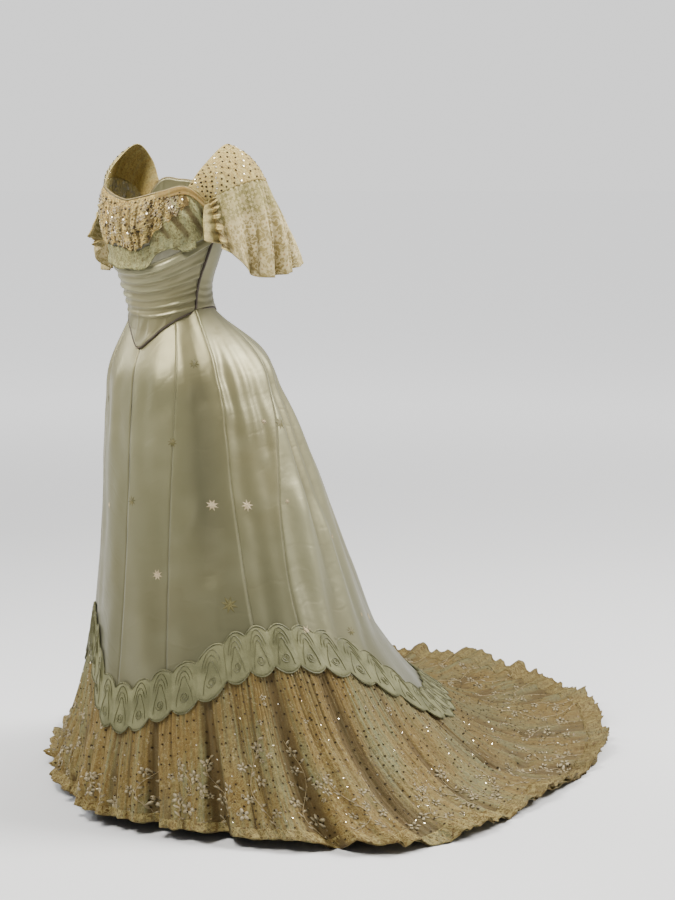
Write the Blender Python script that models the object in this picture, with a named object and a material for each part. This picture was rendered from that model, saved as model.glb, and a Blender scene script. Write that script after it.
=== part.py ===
"""Evening dress of about 1900 with a train, worn-shaped and empty: satin bodice and gored skirt,
sequinned net shoulders, lace sleeves and neck frill, and a deep gathered net flounce.

Units are metres and +Z is up. The wearer faces -Y and their left is +X. Tables give heights above
the floor. The origin is the centre of the natural waist, where the wearer holds the dress up.
A turn is an angle about the body axis in degrees: 0 at the front, 90 at the wearer's left.
Every cloth piece is a wall: outer points on a surface, and inner points one thickness below them.
"""

import bpy
import numpy as np

# Driving sizes
WAIST_HEIGHT = 1.10
SATIN = 0.0016
NET = 0.0018
LACE = 0.0020
SEAM_GAP = 0.0004
LAY_GAP = 0.0006
PIPING_RADIUS = 0.0016
LAP = 360.0
GRID_PASSES = 8

# Reach of the bodice from the body axis at each height: to the side, the front and the back
BODY_COLUMNS = ("height", "side", "front", "back")
BODY_RINGS = (
    (0.940, 0.124, 0.122, 0.122),
    (0.970, 0.112, 0.113, 0.114),
    (1.010, 0.098, 0.098, 0.104),
    (1.050, 0.092, 0.092, 0.094),
    (1.075, 0.092, 0.098, 0.078),
    (1.100, 0.095, 0.107, 0.067),
    (1.125, 0.101, 0.121, 0.069),
    (1.150, 0.110, 0.134, 0.077),
    (1.200, 0.126, 0.144, 0.094),
    (1.250, 0.138, 0.147, 0.105),
    (1.300, 0.147, 0.131, 0.112),
    (1.345, 0.147, 0.112, 0.112),
)

# Bodice edges that are alike on both sides: turn from the front, height
BASQUE_EDGE = (
    (0, 0.978), (11, 0.993), (24, 1.014), (42, 1.034), (72, 1.053), (120, 1.056), (150, 1.043), (180, 1.036),
)
NECK_EDGE = (
    (0, 1.281), (14, 1.287), (32, 1.298), (54, 1.305), (70, 1.272), (84, 1.240), (98, 1.238), (114, 1.266),
    (130, 1.316), (150, 1.318), (180, 1.312),
)
# Bodice edges that differ from side to side: turn, height
DRAPE_EDGE = ((-110, 1.200), (-60, 1.172), (-25, 1.152), (10, 1.146), (35, 1.162), (60, 1.190), (95, 1.214))
FRILL_EDGE = ((-70, 1.215), (-40, 1.194), (-10, 1.190), (17, 1.186), (31, 1.226), (45, 1.252), (60, 1.288))

# Cuts of the bodice: the side opening on the wearer's left leans, the others are plumb
OPENING_TURNS = ((1.04, 71.0), (1.10, 72.5), (1.15, 77.0), (1.24, 85.0))
OPENING_GAP = 0.0042
RIGHT_SEAM = -96.0

# Draped folds of the bodice front: height of the ridge at the right seam, centre and opening
FOLD_COLUMNS = ("right", "centre", "left", "width", "depth")
DRAPE_FOLDS = (
    (1.172, 1.128, 1.196, 0.010, 0.0052),
    (1.140, 1.110, 1.160, 0.009, 0.0036),
    (1.118, 1.092, 1.128, 0.009, 0.0044),
    (1.098, 1.074, 1.102, 0.008, 0.0034),
    (1.078, 1.058, 1.082, 0.008, 0.0038),
    (1.062, 1.040, 1.066, 0.007, 0.0026),
)

# The folds fade out over this depth at the drape's edges
FOLD_FADE = 0.010

# Skirt rings, waist to hem: place along the cloth, height at front and back, reach every 30 degrees
RING_COLUMNS = ("along", "front_height", "back_height", "reaches")
SKIRT_RINGS = (
    (0.10, 0.935, 0.975, (0.127, 0.138, 0.151, 0.162, 0.180, 0.178, 0.166, 0.178, 0.172, 0.146, 0.130, 0.126)),
    (0.19, 0.850, 0.880, (0.142, 0.158, 0.180, 0.203, 0.222, 0.224, 0.218, 0.220, 0.206, 0.168, 0.142, 0.138)),
    (0.36, 0.680, 0.690, (0.160, 0.182, 0.214, 0.252, 0.292, 0.314, 0.326, 0.308, 0.260, 0.190, 0.151, 0.153)),
    (0.52, 0.500, 0.500, (0.180, 0.206, 0.252, 0.308, 0.356, 0.388, 0.438, 0.392, 0.322, 0.212, 0.163, 0.166)),
    (0.67, 0.330, 0.310, (0.204, 0.232, 0.298, 0.380, 0.438, 0.484, 0.592, 0.512, 0.396, 0.240, 0.184, 0.182)),
    (0.79, 0.195, 0.140, (0.230, 0.258, 0.344, 0.462, 0.545, 0.634, 0.775, 0.680, 0.480, 0.280, 0.206, 0.198)),
    (0.90, 0.098, 0.022, (0.252, 0.284, 0.378, 0.560, 0.668, 0.846, 1.040, 0.940, 0.570, 0.322, 0.240, 0.214)),
    (1.00, 0.024, 0.004, (0.266, 0.296, 0.402, 0.650, 0.790, 1.080, 1.340, 1.310, 0.700, 0.355, 0.262, 0.230)),
)
RING_STEP = 30.0
# The skirt's top is tucked inside the bodice: how far above and below the bodice's edge, and how far in
TUCK_RISE = 0.014
TUCK_DROP = 0.006
TUCK_INSETS = (0.0046, 0.0040)
TUCK_FOOT_PLACE = 0.04

# Seams of the gored skirt: turn at the waist, at the flounce, and columns of the gore after it
SEAM_COLUMNS = ("name", "waist", "flounce", "columns")
GORE_SEAMS = (
    ("front_left", 0.0, 6.0, 7),
    ("side_front_left", 46.0, 35.0, 7),
    ("side_left", 71.0, 72.0, 6),
    ("back_left", 124.0, 88.0, 14),
    ("back_right", 180.0, 180.0, 14),
    ("side_right", 236.0, 272.0, 6),
    ("side_front_right", 289.0, 288.0, 6),
    ("front_right", 314.0, 325.0, 6),
)
GORE_ROWS = (0.0, 0.045, 0.085, 0.13, 0.23, 0.36, 0.51, 0.67, 0.80, 0.90, 0.96, 1.0)
# Place along the cloth where the satin gores end and the net flounce starts
FLOUNCE_SEAM = (
    (-150, 0.790), (-110, 0.715), (-60, 0.640), (-26, 0.660), (0, 0.745), (15, 0.750), (30, 0.722), (48, 0.688),
    (63, 0.645), (80, 0.630), (98, 0.650), (113, 0.695), (130, 0.765), (155, 0.790), (180, 0.790),
)
# Sections of the flounce: name, turn where it starts, gather waves
FLOUNCE_CUTS = (
    ("front", -58.0, 14), ("left", 62.0, 14), ("back_left", 128.0, 14), ("back", 170.0, 12),
    ("back_right", 203.0, 12), ("right", 244.0, 10),
)
SEAM_STEP = 0.0012
FLOUNCE_ROWS = (0.0, 0.10, 0.30, 0.60, 1.0)
WAVE_COLUMNS = 3
WAVE_DEPTH = 0.010
WAVE_PEAK = 1.52
WAVE_GROWTH = 0.8

# Long soft folds of the skirt: turn and place along where each starts and ends, width, depth
SKIRT_FOLD_COLUMNS = ("start_turn", "end_turn", "start", "end", "width", "depth")
SKIRT_FOLDS = (
    (66.0, 74.0, 0.05, 0.24, 8.0, 0.008),
    (106.0, 100.0, 0.05, 0.62, 9.0, 0.010),
    (130.0, 122.0, 0.06, 0.66, 9.0, 0.012),
    (150.0, 144.0, 0.06, 0.70, 8.5, 0.015),
    (169.0, 166.0, 0.06, 0.74, 8.5, 0.017),
    (191.0, 194.0, 0.06, 0.74, 8.5, 0.017),
    (210.0, 216.0, 0.06, 0.70, 8.5, 0.015),
    (232.0, 240.0, 0.06, 0.64, 9.0, 0.010),
    (-8.0, -12.0, 0.76, 1.05, 6.0, 0.010),
    (34.0, 37.0, 0.74, 1.05, 6.0, 0.016),
    (58.0, 62.0, 0.74, 1.05, 6.0, 0.014),
    (84.0, 84.0, 0.74, 1.05, 5.0, 0.020),
    (300.0, 302.0, 0.74, 1.05, 6.0, 0.010),
)

# Net on the yoke: how far its scallops stand out to clear the draped folds, how far it reaches
# above the drape, how deep it hangs over it, the size of a scallop and half-waves per degree
SCALLOP_RISE = 0.0065
SCALLOP_REACH = 0.038
SCALLOP_HANG = 0.004
SCALLOP_SIZE = 0.009
SCALLOP_RATE = 7.5
SCALLOP_TURNS = (-70.0, 62.0)

# Gathered frill round the neckline: turns of the front and the back length, waves in one radian,
# how far it stands off at least, height of its waves, inset below the edge, depth at the back
FRONT_FRILL_TURNS = (-56.0, 54.0)
BACK_FRILL_TURNS = (132.0, 228.0)
FRILL_WAVES = 60.0
FRILL_STAND = 0.0015
FRILL_WAVE_DEPTH = 0.0055
FRILL_INSET = 0.002
BACK_FRILL_DEPTH = 0.060

# Scalloped border over the head of the flounce
BORDER_DEPTH = 0.085
BORDER_LIFT = 0.0022
BORDER_RISE = 0.55
SCALLOP_DEPTH = 0.016
BORDER_CUTS = (("front", -60.0, 8), ("left", 60.0, 8), ("back", 150.0, 8), ("right", 212.0, 7))

# Shoulder cap of the left side, from its front root over the shoulder to its back root
CAP_COLUMNS = ("neck_edge", "arm_edge")
CAP_ROWS = (
    ((0.1215, -0.042, 1.350), (0.170, -0.018, 1.303)),
    ((0.1230, 0.034, 1.394), (0.2000, 0.045, 1.322)),
    ((0.1190, 0.080, 1.362), (0.180, 0.092, 1.304)),
)
CAP_ROOTS = ((54.0, 69.0), (129.0, 115.0))
CAP_STATIONS = (0.0, 0.25, 0.5, 0.75, 1.0)
CAP_BULGE = 0.013
CAP_CLEARANCE = 0.002
# Lower edge of the left sleeve flounce, front to back
SLEEVE_HEM = (
    (0.150, -0.064, 1.205), (0.178, -0.014, 1.168), (0.196, 0.024, 1.126), (0.220, 0.056, 1.124),
    (0.238, 0.104, 1.138), (0.205, 0.148, 1.152), (0.150, 0.142, 1.185),
)
SLEEVE_DROP = (0.0006, 0.0, -0.0016)
ARM_AXIS = (0.135, 0.045, 0.0)
SLEEVE_WAVES = 8
SLEEVE_WAVE_DEPTH = 0.009
SLEEVE_SWELL = 0.010

COLOURS = {
    "satin": (0.62, 0.61, 0.47, 0.38),
    "net": (0.42, 0.45, 0.31, 0.70),
    "lace": (0.47, 0.36, 0.19, 0.75),
    "sequin_net": (0.45, 0.36, 0.20, 0.60),
    "applique": (0.38, 0.43, 0.29, 0.65),
    "piping": (0.065, 0.045, 0.030, 0.60),
}


def spline(stations, values, at):
    """Smooth curve through the rows of values, one at each station, read at the given places.

    Where values has one column for each place, every place reads its own column.
    """
    stations = np.asarray(stations, float)
    values = np.asarray(values, float)
    at = np.asarray(at, float)
    steps = np.diff(stations).reshape((-1,) + (1,) * (values.ndim - 1))
    chords = np.diff(values, axis=0) / steps
    slopes = np.empty_like(values)
    slopes[0] = chords[0]
    slopes[-1] = chords[-1]
    slopes[1:-1] = (chords[:-1] * steps[1:] + chords[1:] * steps[:-1]) / (steps[1:] + steps[:-1])
    before = np.clip(np.searchsorted(stations, at, side="right") - 1, 0, len(stations) - 2)
    after = before + 1
    width = stations[after] - stations[before]
    part = (at - stations[before]) / width
    if values.ndim == 2 and at.ndim == 1 and values.shape[1] == at.size:
        column = np.arange(at.size)
        before = (before, column)
        after = (after, column)
    else:
        width, part = (array.reshape(array.shape + (1,) * (values.ndim - 1)) for array in (width, part))
    square = part * part
    cube = square * part
    return (
        (2 * cube - 3 * square + 1) * values[before]
        + (cube - 2 * square + part) * width * slopes[before]
        + (3 * square - 2 * cube) * values[after]
        + (cube - square) * width * slopes[after]
    )


def around(rows, turn):
    """Smooth closed curve through (turn, value) rows that cover one lap."""
    turns = np.array([row[0] for row in rows], float)
    values = np.array([row[1] for row in rows], float)
    turns = np.concatenate([turns - LAP, turns, turns + LAP])
    return spline(turns, np.tile(values, 3), wrapped(turn))


def both_sides(rows, turn):
    """Smooth curve through (turn, value) rows from 0 to 180, alike on both sides of the body."""
    mirrored = tuple((-place, value) for place, value in rows[-2:0:-1])
    return around(mirrored + tuple(rows), turn)


def along(rows, place):
    """Smooth open curve through (place, value) rows, level past its ends."""
    stations = [row[0] for row in rows]
    return spline(stations, [row[1] for row in rows], np.clip(place, stations[0], stations[-1]))


def wrapped(turn):
    """Turn brought into the lap from -180 to 180."""
    return np.mod(np.asarray(turn, float) + LAP / 2, LAP) - LAP / 2


def bump(offset, width):
    """Soft ridge of height one, zero from one width away."""
    ratio = np.clip(np.abs(offset) / width, 0.0, 1.0)
    return (1 - ratio * ratio) ** 2


def smooth(low, high, value):
    """Soft step from 0 at low to 1 at high."""
    ratio = np.clip((value - low) / (high - low), 0.0, 1.0)
    return ratio * ratio * (3 - 2 * ratio)


def body_reach(turn, height):
    """Distance of the bodice's outer face from the axis: an oval with its own front and back."""
    rings = np.array(BODY_RINGS)
    side, front, back = (spline(rings[:, 0], rings[:, column], height) for column in (1, 2, 3))
    angle = np.radians(turn)
    depth = np.where(np.cos(angle) > 0, front, back)
    return 1 / np.sqrt((np.sin(angle) / side) ** 2 + (np.cos(angle) / depth) ** 2)


def at_polar(turn, reach, height):
    """Point at a turn and a reach from the axis, and a height above the floor."""
    angle = np.radians(turn)
    return np.stack([reach * np.sin(angle), -reach * np.cos(angle), height + 0 * reach], -1)


def drape_relief(turn, height):
    """How far the draped folds of the bodice front stand out, as uneven soft ridges."""
    turn = wrapped(turn)
    relief = np.zeros(np.broadcast(turn, height).shape)
    for number, (right, centre, left, width, depth) in enumerate(DRAPE_FOLDS):
        ridge = along(((RIGHT_SEAM, right), (-18.0, centre + 0.003), (8.0, centre), (84.0, left)), turn)
        strength = 0.75 + 0.25 * np.sin(np.radians(2.3 * turn + 70.0 * number))
        relief += depth * strength * bump(height - ridge, width)
    return relief


def bodice_point(turn, height, lift=0.0):
    """Point on the bodice, lifted off its outer face."""
    return at_polar(turn, body_reach(turn, height) + lift, height)


def skirt_profile(turn, place):
    """Reach and height of the smooth skirt at a turn, at a place along the cloth from waist to hem."""
    turn, place = (array.astype(float) for array in np.broadcast_arrays(turn, place))
    shape = turn.shape
    turn, place = turn.ravel(), place.ravel()
    stations = [0.0, TUCK_FOOT_PLACE] + [ring[0] for ring in SKIRT_RINGS]
    tuck_top = basque(turn) + TUCK_RISE
    tuck_foot = basque(turn) - TUCK_DROP
    reaches = [body_reach(turn, level) - inset for level, inset in zip((tuck_top, tuck_foot), TUCK_INSETS)]
    heights = [tuck_top, tuck_foot]
    to_back = (1 - np.cos(np.radians(turn))) / 2
    for _, front, back, row in SKIRT_RINGS:
        steps = [(RING_STEP * number, value) for number, value in enumerate(row)]
        reaches.append(around(steps, turn))
        heights.append(front + (back - front) * to_back)
    reach = spline(stations, np.array(reaches), place)
    height = spline(stations, np.array(heights), place)
    return reach.reshape(shape), height.reshape(shape)


def skirt_relief(turn, place):
    """How far the long folds of the skirt stand out."""
    relief = np.zeros(np.broadcast(turn, place).shape)
    for start_turn, end_turn, start, end, width, depth in SKIRT_FOLDS:
        share = np.clip((place - start) / (end - start), 0.0, 1.0)
        ridge = start_turn + (end_turn - start_turn) * share
        fade = smooth(start, start + 0.35 * (end - start), place) * (1 - smooth(0.72, 1.0, share) * (end < 1))
        relief += depth * fade * bump(wrapped(turn - ridge), width)
    return relief


def off_surface(surface, across, down, lift, sense=1.0):
    """Points of surface(across, down) moved out along its normal by lift.

    sense is 1 where down grows towards the hem, and -1 where it is a height.
    """
    small = 1e-5
    span = surface(across + small, down) - surface(across - small, down)
    fall = surface(across, down + small) - surface(across, down - small)
    normal = np.cross(fall, span) * sense
    normal /= np.linalg.norm(normal, axis=-1, keepdims=True)
    return surface(across, down) + normal * np.asarray(lift)[..., None]


def skirt_point(turn, place):
    """Point on the satin skirt with its long folds."""
    reach, height = skirt_profile(turn, place)
    return at_polar(turn, reach + skirt_relief(turn, place), height)


def sections(cuts):
    """Each cut's name, the turns where it starts and ends, and its count."""
    ends = [cut[1] for cut in cuts[1:]] + [cuts[0][1] + LAP]
    return [(name, start, end, count) for (name, start, count), end in zip(cuts, ends)]


def hem_phase(turn):
    """Gather waves counted along the hem, from the front of the first flounce section."""
    starts = [cut[1] for cut in FLOUNCE_CUTS] + [FLOUNCE_CUTS[0][1] + LAP]
    counts = np.cumsum([0] + [cut[2] for cut in FLOUNCE_CUTS])
    lap = np.mod(turn - starts[0], LAP) + starts[0]
    past_end = turn - starts[0] >= LAP - 1e-6
    return np.interp(np.where(past_end, turn, lap), starts, counts)


def cloth_per_place(turn, place):
    """Metres of cloth down the skirt for a whole step of place."""
    step = 0.02
    fall = skirt_point(turn, place + step) - skirt_point(turn, place - step)
    return np.linalg.norm(fall, axis=-1) / (2 * step)


def gathered(turn, place):
    """Share of the flounce's depth at a place, 0 at its seam and 1 at the hem."""
    seam = around(FLOUNCE_SEAM, turn)
    return np.clip((place - seam) / (1 - seam), 0.0, 1.0)


def flounce_point(turn, place):
    """Point on the gathered flounce: the skirt with waves that grow from its seam to the hem."""
    turn, place = np.broadcast_arrays(np.asarray(turn, float), np.asarray(place, float))
    phase = 2 * np.pi * hem_phase(turn)
    uneven = 1 + 0.30 * np.sin(phase * 3 / 7 + 1.0) + 0.22 * np.sin(phase * 2 / 11)
    wave = WAVE_DEPTH * uneven * gathered(turn, place) ** WAVE_GROWTH * (0.5 - 0.5 * np.cos(phase))
    return off_surface(skirt_point, turn, place, wave)


def wall(name, surface, grid, thickness, material, collection, mirror=False):
    """Closed cloth wall with its outer face on surface(across, down) and its inner face below it.

    grid holds two arrays of the same shape, rows down the cloth and columns across it. Both faces are
    cut along the same diagonals, so that the wall keeps its thickness where the cloth twists.
    """
    across, down = grid
    rows, columns = across.shape
    outer = surface(across, down)
    sense = np.sign(down[-1, 0] - down[0, 0])
    inner = off_surface(surface, across, down, -thickness * np.ones(across.shape), sense)
    points = np.concatenate([outer.reshape(-1, 3), inner.reshape(-1, 3)])
    points[:, 2] -= WAIST_HEIGHT
    if mirror:
        points[:, 0] *= -1
    index = np.arange(rows * columns).reshape(rows, columns)
    to_inner = rows * columns
    faces = []
    for row in range(rows - 1):
        for column in range(columns - 1):
            top_left, foot_left = index[row, column], index[row + 1, column]
            top_right, foot_right = index[row, column + 1], index[row + 1, column + 1]
            for corners in ((top_left, foot_left, foot_right), (top_left, foot_right, top_right)):
                faces.append(corners)
                faces.append(tuple(corner + to_inner for corner in reversed(corners)))
    rim = list(index[0]) + list(index[1:, -1]) + list(index[-1, -2::-1]) + list(index[-2:0:-1, 0])
    for number, corner in enumerate(rim):
        after = rim[(number + 1) % len(rim)]
        faces.append((corner, after, after + to_inner, corner + to_inner))
    if mirror:
        faces = [tuple(reversed(face)) for face in faces]
    mesh = bpy.data.meshes.new(name)
    mesh.from_pydata(points.tolist(), [], [tuple(int(corner) for corner in face) for face in faces])
    mesh.update()
    return finish(name, mesh, material, collection)


def finish(name, mesh, material, collection):
    """Object for the mesh, smooth shaded but for its rims, with its material."""
    mesh.shade_smooth()
    mesh.set_sharp_from_angle(angle=np.radians(50))
    mesh.materials.append(cloth(name, material))
    piece = bpy.data.objects.new(name, mesh)
    collection.objects.link(piece)
    return piece


def cloth(name, kind):
    """Plain material of one cloth kind for one piece."""
    red, green, blue, roughness = COLOURS[kind]
    material = bpy.data.materials.new(name + "_" + kind)
    material.use_nodes = True
    shader = material.node_tree.nodes["Principled BSDF"]
    shader.inputs["Base Color"].default_value = (red, green, blue, 1)
    shader.inputs["Roughness"].default_value = roughness
    return material


def cord(name, points, radius, cyclic, collection):
    """Round cord of the dark piping through the points."""
    curve = bpy.data.curves.new(name, "CURVE")
    curve.dimensions = "3D"
    curve.bevel_depth = radius
    curve.bevel_resolution = 1
    curve.use_fill_caps = not cyclic
    line = curve.splines.new("POLY")
    line.points.add(len(points) - 1)
    for point, place in zip(line.points, points):
        point.co = (place[0], place[1], place[2] - WAIST_HEIGHT, 1)
    line.use_cyclic_u = cyclic
    curve.materials.append(cloth(name, "piping"))
    piece = bpy.data.objects.new(name, curve)
    collection.objects.link(piece)
    return piece


def opening_turn(height):
    """Turn of the bodice's side opening at a height."""
    return along(OPENING_TURNS, height)


def gap_turn(gap, reach):
    """Turn that half a gap takes at a reach."""
    return np.degrees(gap / 2 / reach)


def grid_between(left, right, top, foot, columns, depths):
    """Grid of (turn, height) with leaning sides: left and right give the turn at a height."""
    share = np.linspace(0, 1, columns + 1)
    depth = np.asarray(depths)[:, None]
    height = WAIST_HEIGHT + 0 * share[None, :] * depth
    for _ in range(GRID_PASSES):
        turn = left(height) + (right(height) - left(height)) * share[None, :]
        height = top(turn) + (foot(turn) - top(turn)) * depth
    return turn, height


def basque(turn):
    """Height of the bodice's lower edge."""
    return both_sides(BASQUE_EDGE, turn)


def neck(turn):
    """Height of the bodice's upper edge, neckline and armholes."""
    return both_sides(NECK_EDGE, turn)


def drape_top(turn):
    """Height of the upper edge of the draped front."""
    return along(DRAPE_EDGE, wrapped(turn))


def make_bodice(collection):
    """Draped front, net yoke, two back panels, side opening edge and piping."""
    half_opening = gap_turn(OPENING_GAP, 0.11)
    half_seam = gap_turn(SEAM_GAP, 0.10)

    def front_left(height):
        return opening_turn(height) - half_opening

    def right_seam(height):
        return RIGHT_SEAM + half_seam + 0 * height

    def draped(turn, height):
        fade = smooth(0, FOLD_FADE, drape_top(turn) - height) * smooth(0, FOLD_FADE, height - basque(turn))
        return bodice_point(turn, height, drape_relief(turn, height) * fade)

    depths = np.concatenate([np.linspace(0, 0.82, 16), (0.91, 1.0)])
    front = grid_between(right_seam, front_left, drape_top, basque, 22, depths)
    wall("bodice_front_drape", draped, front, SATIN, "satin", collection)

    def yoke_foot(turn):
        return drape_top(turn) + SEAM_GAP

    yoke = grid_between(right_seam, front_left, neck, yoke_foot, 24, np.linspace(0, 1, 4))
    wall("bodice_front_yoke", bodice_point, yoke, SATIN, "satin", collection)
    left_back = grid_between(
        lambda height: opening_turn(height) + half_opening,
        lambda height: 180.0 - half_seam + 0 * height,
        neck, basque, 12, np.linspace(0, 1, 8),
    )
    wall("bodice_back_left", bodice_point, left_back, SATIN, "satin", collection)
    right_back = grid_between(
        lambda height: 180.0 + half_seam + 0 * height,
        lambda height: LAP + RIGHT_SEAM - half_seam + 0 * height,
        neck, basque, 10, np.linspace(0, 1, 8),
    )
    wall("bodice_back_right", bodice_point, right_back, SATIN, "satin", collection)

    heights = np.linspace(neck(84.0) - 0.004, basque(71.0) + 0.003, 10)
    turns = opening_turn(heights)
    edge = at_polar(turns, body_reach(turns, heights) - SATIN / 2, heights)
    cord("side_opening_edge", edge, PIPING_RADIUS, False, collection)

    turns = np.concatenate([np.linspace(-60, 60, 31), np.linspace(72, 288, 19)])
    reach = body_reach(turns, basque(turns))
    slope = (basque(turns + 0.5) - basque(turns - 0.5)) / np.radians(reach)
    heights = basque(turns) - (PIPING_RADIUS + LAY_GAP) * np.sqrt(1 + slope * slope)
    edge = at_polar(turns, body_reach(turns, heights) - SATIN / 2, heights)
    cord("basque_piping", edge, PIPING_RADIUS, True, collection)


def make_frills(collection):
    """Scalloped net on the yoke, and the gathered lace frill round the neckline."""
    lift = LAY_GAP + NET

    def on_yoke(turn, height):
        over_folds = SCALLOP_RISE * smooth(-0.012, 0.006, drape_top(turn) - height)
        return bodice_point(turn, height, lift + over_folds)

    def scallop_foot(turn):
        return drape_top(turn) - SCALLOP_HANG - SCALLOP_SIZE * np.abs(np.sin(np.radians(turn * SCALLOP_RATE)))

    turn = np.linspace(*SCALLOP_TURNS, 37)[None, :] + np.zeros((3, 1))
    top = np.minimum(drape_top(turn) + SCALLOP_REACH, along(FRILL_EDGE, turn) - 0.001)
    height = top + (scallop_foot(turn) - top) * np.array([0.0, 0.6, 1.0])[:, None]
    wall("yoke_scallops", on_yoke, (turn, height), NET, "net", collection)

    def frill(turn, share, foot):
        top = neck(turn) - FRILL_INSET
        phase = np.radians(turn) * FRILL_WAVES
        gather = 0.5 + 0.5 * np.sin(phase + 0.8 * np.sin(phase / 3))
        out = SEAM_GAP + LACE + np.clip(share, 0, 1) ** 0.7 * (FRILL_STAND + FRILL_WAVE_DEPTH * gather)
        return bodice_point(turn, top + (foot - top) * share, out)

    def front_frill(turn, share):
        return frill(turn, share, along(FRILL_EDGE, wrapped(turn)))

    def back_frill(turn, share):
        return frill(turn, share, neck(turn) - BACK_FRILL_DEPTH)

    turn, share = np.meshgrid(np.linspace(*FRONT_FRILL_TURNS, 61), (0.0, 0.35, 0.7, 1.0))
    wall("neck_frill_front", front_frill, (turn, share), LACE, "lace", collection)
    turn, share = np.meshgrid(np.linspace(*BACK_FRILL_TURNS, 37), (0.0, 0.5, 1.0))
    wall("neck_frill_back", back_frill, (turn, share), LACE, "lace", collection)


def cap_lines(out):
    """Five lines of the left cap from front root to back root, each read at a place out to the arm."""
    lines = [neck_edge + (arm_edge - neck_edge) * out[..., None] for neck_edge, arm_edge in np.array(CAP_ROWS)]
    roots = []
    for inner, outer in CAP_ROOTS:
        turn = inner + (outer - inner) * out
        roots.append(bodice_point(turn, neck(turn) + CAP_CLEARANCE))
    return np.array([roots[0]] + lines + [roots[1]])


def cap_point(over, out):
    """Point on the shoulder cap: over runs front to back, out from the neck to the arm."""
    over, out = np.broadcast_arrays(np.asarray(over, float), np.asarray(out, float))
    flat_over, flat_out = over.ravel(), out.ravel()
    lines = cap_lines(flat_out)
    point = np.stack([spline(CAP_STATIONS, lines[:, :, axis], flat_over) for axis in range(3)], -1)
    swell = CAP_BULGE * np.sin(np.pi * np.clip(flat_out, 0, 1)) * np.sin(np.pi * np.clip(flat_over, 0, 1)) ** 0.7
    point[:, 2] += swell * 0.85
    point[:, 0] += swell * 0.5
    return point.reshape(over.shape + (3,))


def sleeve_point(over, down):
    """Point on the sleeve flounce, from the cap's arm edge to the waved hem."""
    over, down = np.broadcast_arrays(np.asarray(over, float), np.asarray(down, float))
    top = cap_point(over, np.ones(over.shape))
    hem = spline(np.linspace(0, 1, len(SLEEVE_HEM)), np.array(SLEEVE_HEM), over)
    start = np.array(SLEEVE_DROP)
    point = top + start + (hem - top - start) * down[..., None]
    outward = point - np.array(ARM_AXIS)
    outward[..., 2] = 0
    outward /= np.linalg.norm(outward, axis=-1, keepdims=True)
    phase = 2 * np.pi * SLEEVE_WAVES * over
    wave = SLEEVE_WAVE_DEPTH * np.clip(down, 0, 1) ** 0.8 * (0.5 + 0.5 * np.sin(phase + 0.9 * np.sin(phase / 3)))
    swell = SLEEVE_SWELL * np.sin(np.pi * np.clip(down, 0, 1)) * np.sin(np.pi * np.clip(over, 0, 1))
    return point + outward * (wave + swell)[..., None]


def make_shoulders(collection):
    """Sequinned net caps and lace sleeve flounces, alike on both sides."""
    over, out = np.meshgrid(np.linspace(0, 1, 15), np.linspace(0, 1, 5))
    drop, down = np.meshgrid(np.linspace(0, 1, SLEEVE_WAVES * WAVE_COLUMNS + 1), np.linspace(0, 1, 5))
    for side, mirror in (("left", False), ("right", True)):
        wall("shoulder_cap_" + side, cap_point, (over, out), NET, "sequin_net", collection, mirror)
        wall("sleeve_flounce_" + side, sleeve_point, (drop, down), LACE, "lace", collection, mirror)


def make_skirt(collection):
    """Satin gores, net flounce in sections and the scalloped border over its head."""
    first = GORE_SEAMS[0]
    next_seams = GORE_SEAMS[1:] + ((first[0], first[1] + LAP, first[2] + LAP, first[3]),)
    for (name, waist, foot, columns), (_, next_waist, next_foot, _) in zip(GORE_SEAMS, next_seams):
        depth = np.array(GORE_ROWS)[:, None]
        share = np.linspace(0, 1, columns + 1)[None, :]
        start = foot + (waist - foot) * (1 - depth) ** 2
        end = next_foot + (next_waist - next_foot) * (1 - depth) ** 2
        turn = start + (end - start) * share
        place = depth * around(FLOUNCE_SEAM, turn)
        reach, _ = skirt_profile(turn, place)
        turn = turn + gap_turn(SEAM_GAP, reach) * (1 - 2 * share)
        wall("skirt_gore_" + name, skirt_point, (turn, place), SATIN, "satin", collection)

    for name, start, end, waves in sections(FLOUNCE_CUTS):
        share = np.linspace(0, 1, waves * WAVE_COLUMNS + 1)[None, :]
        depth = np.array(FLOUNCE_ROWS)[:, None]
        turn = start + (end - start) * share + 0 * depth
        seam = around(FLOUNCE_SEAM, turn) + SEAM_STEP
        place = seam + (1 - seam) * depth
        reach, _ = skirt_profile(turn, place)
        turn = turn + gap_turn(SEAM_GAP, reach) * (1 - 2 * share)
        wall("flounce_" + name, flounce_point, (turn, place), NET, "net", collection)

    def border_point(turn, place):
        waves = WAVE_DEPTH * WAVE_PEAK * gathered(turn, place) ** WAVE_GROWTH
        return off_surface(skirt_point, turn, place, BORDER_LIFT + SATIN + waves)

    for name, start, end, scallops in sections(BORDER_CUTS):
        share = np.linspace(0, 1, scallops * WAVE_COLUMNS + 1)[None, :]
        drop = np.linspace(0, 1, 3)[:, None]
        turn = start + (end - start) * share + 0 * drop
        lobe = np.abs(np.sin(np.pi * scallops * share))
        top = -BORDER_RISE * BORDER_DEPTH - SCALLOP_DEPTH * lobe
        foot = (1 - BORDER_RISE) * BORDER_DEPTH + 0.7 * SCALLOP_DEPTH * lobe
        drop = top + (foot - top) * drop
        seam = around(FLOUNCE_SEAM, turn)
        place = seam + drop / cloth_per_place(turn, seam)
        reach, _ = skirt_profile(turn, place)
        turn = turn + gap_turn(SEAM_GAP, reach) * (1 - 2 * share)
        wall("border_" + name, border_point, (turn, place), SATIN, "applique", collection)


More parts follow.
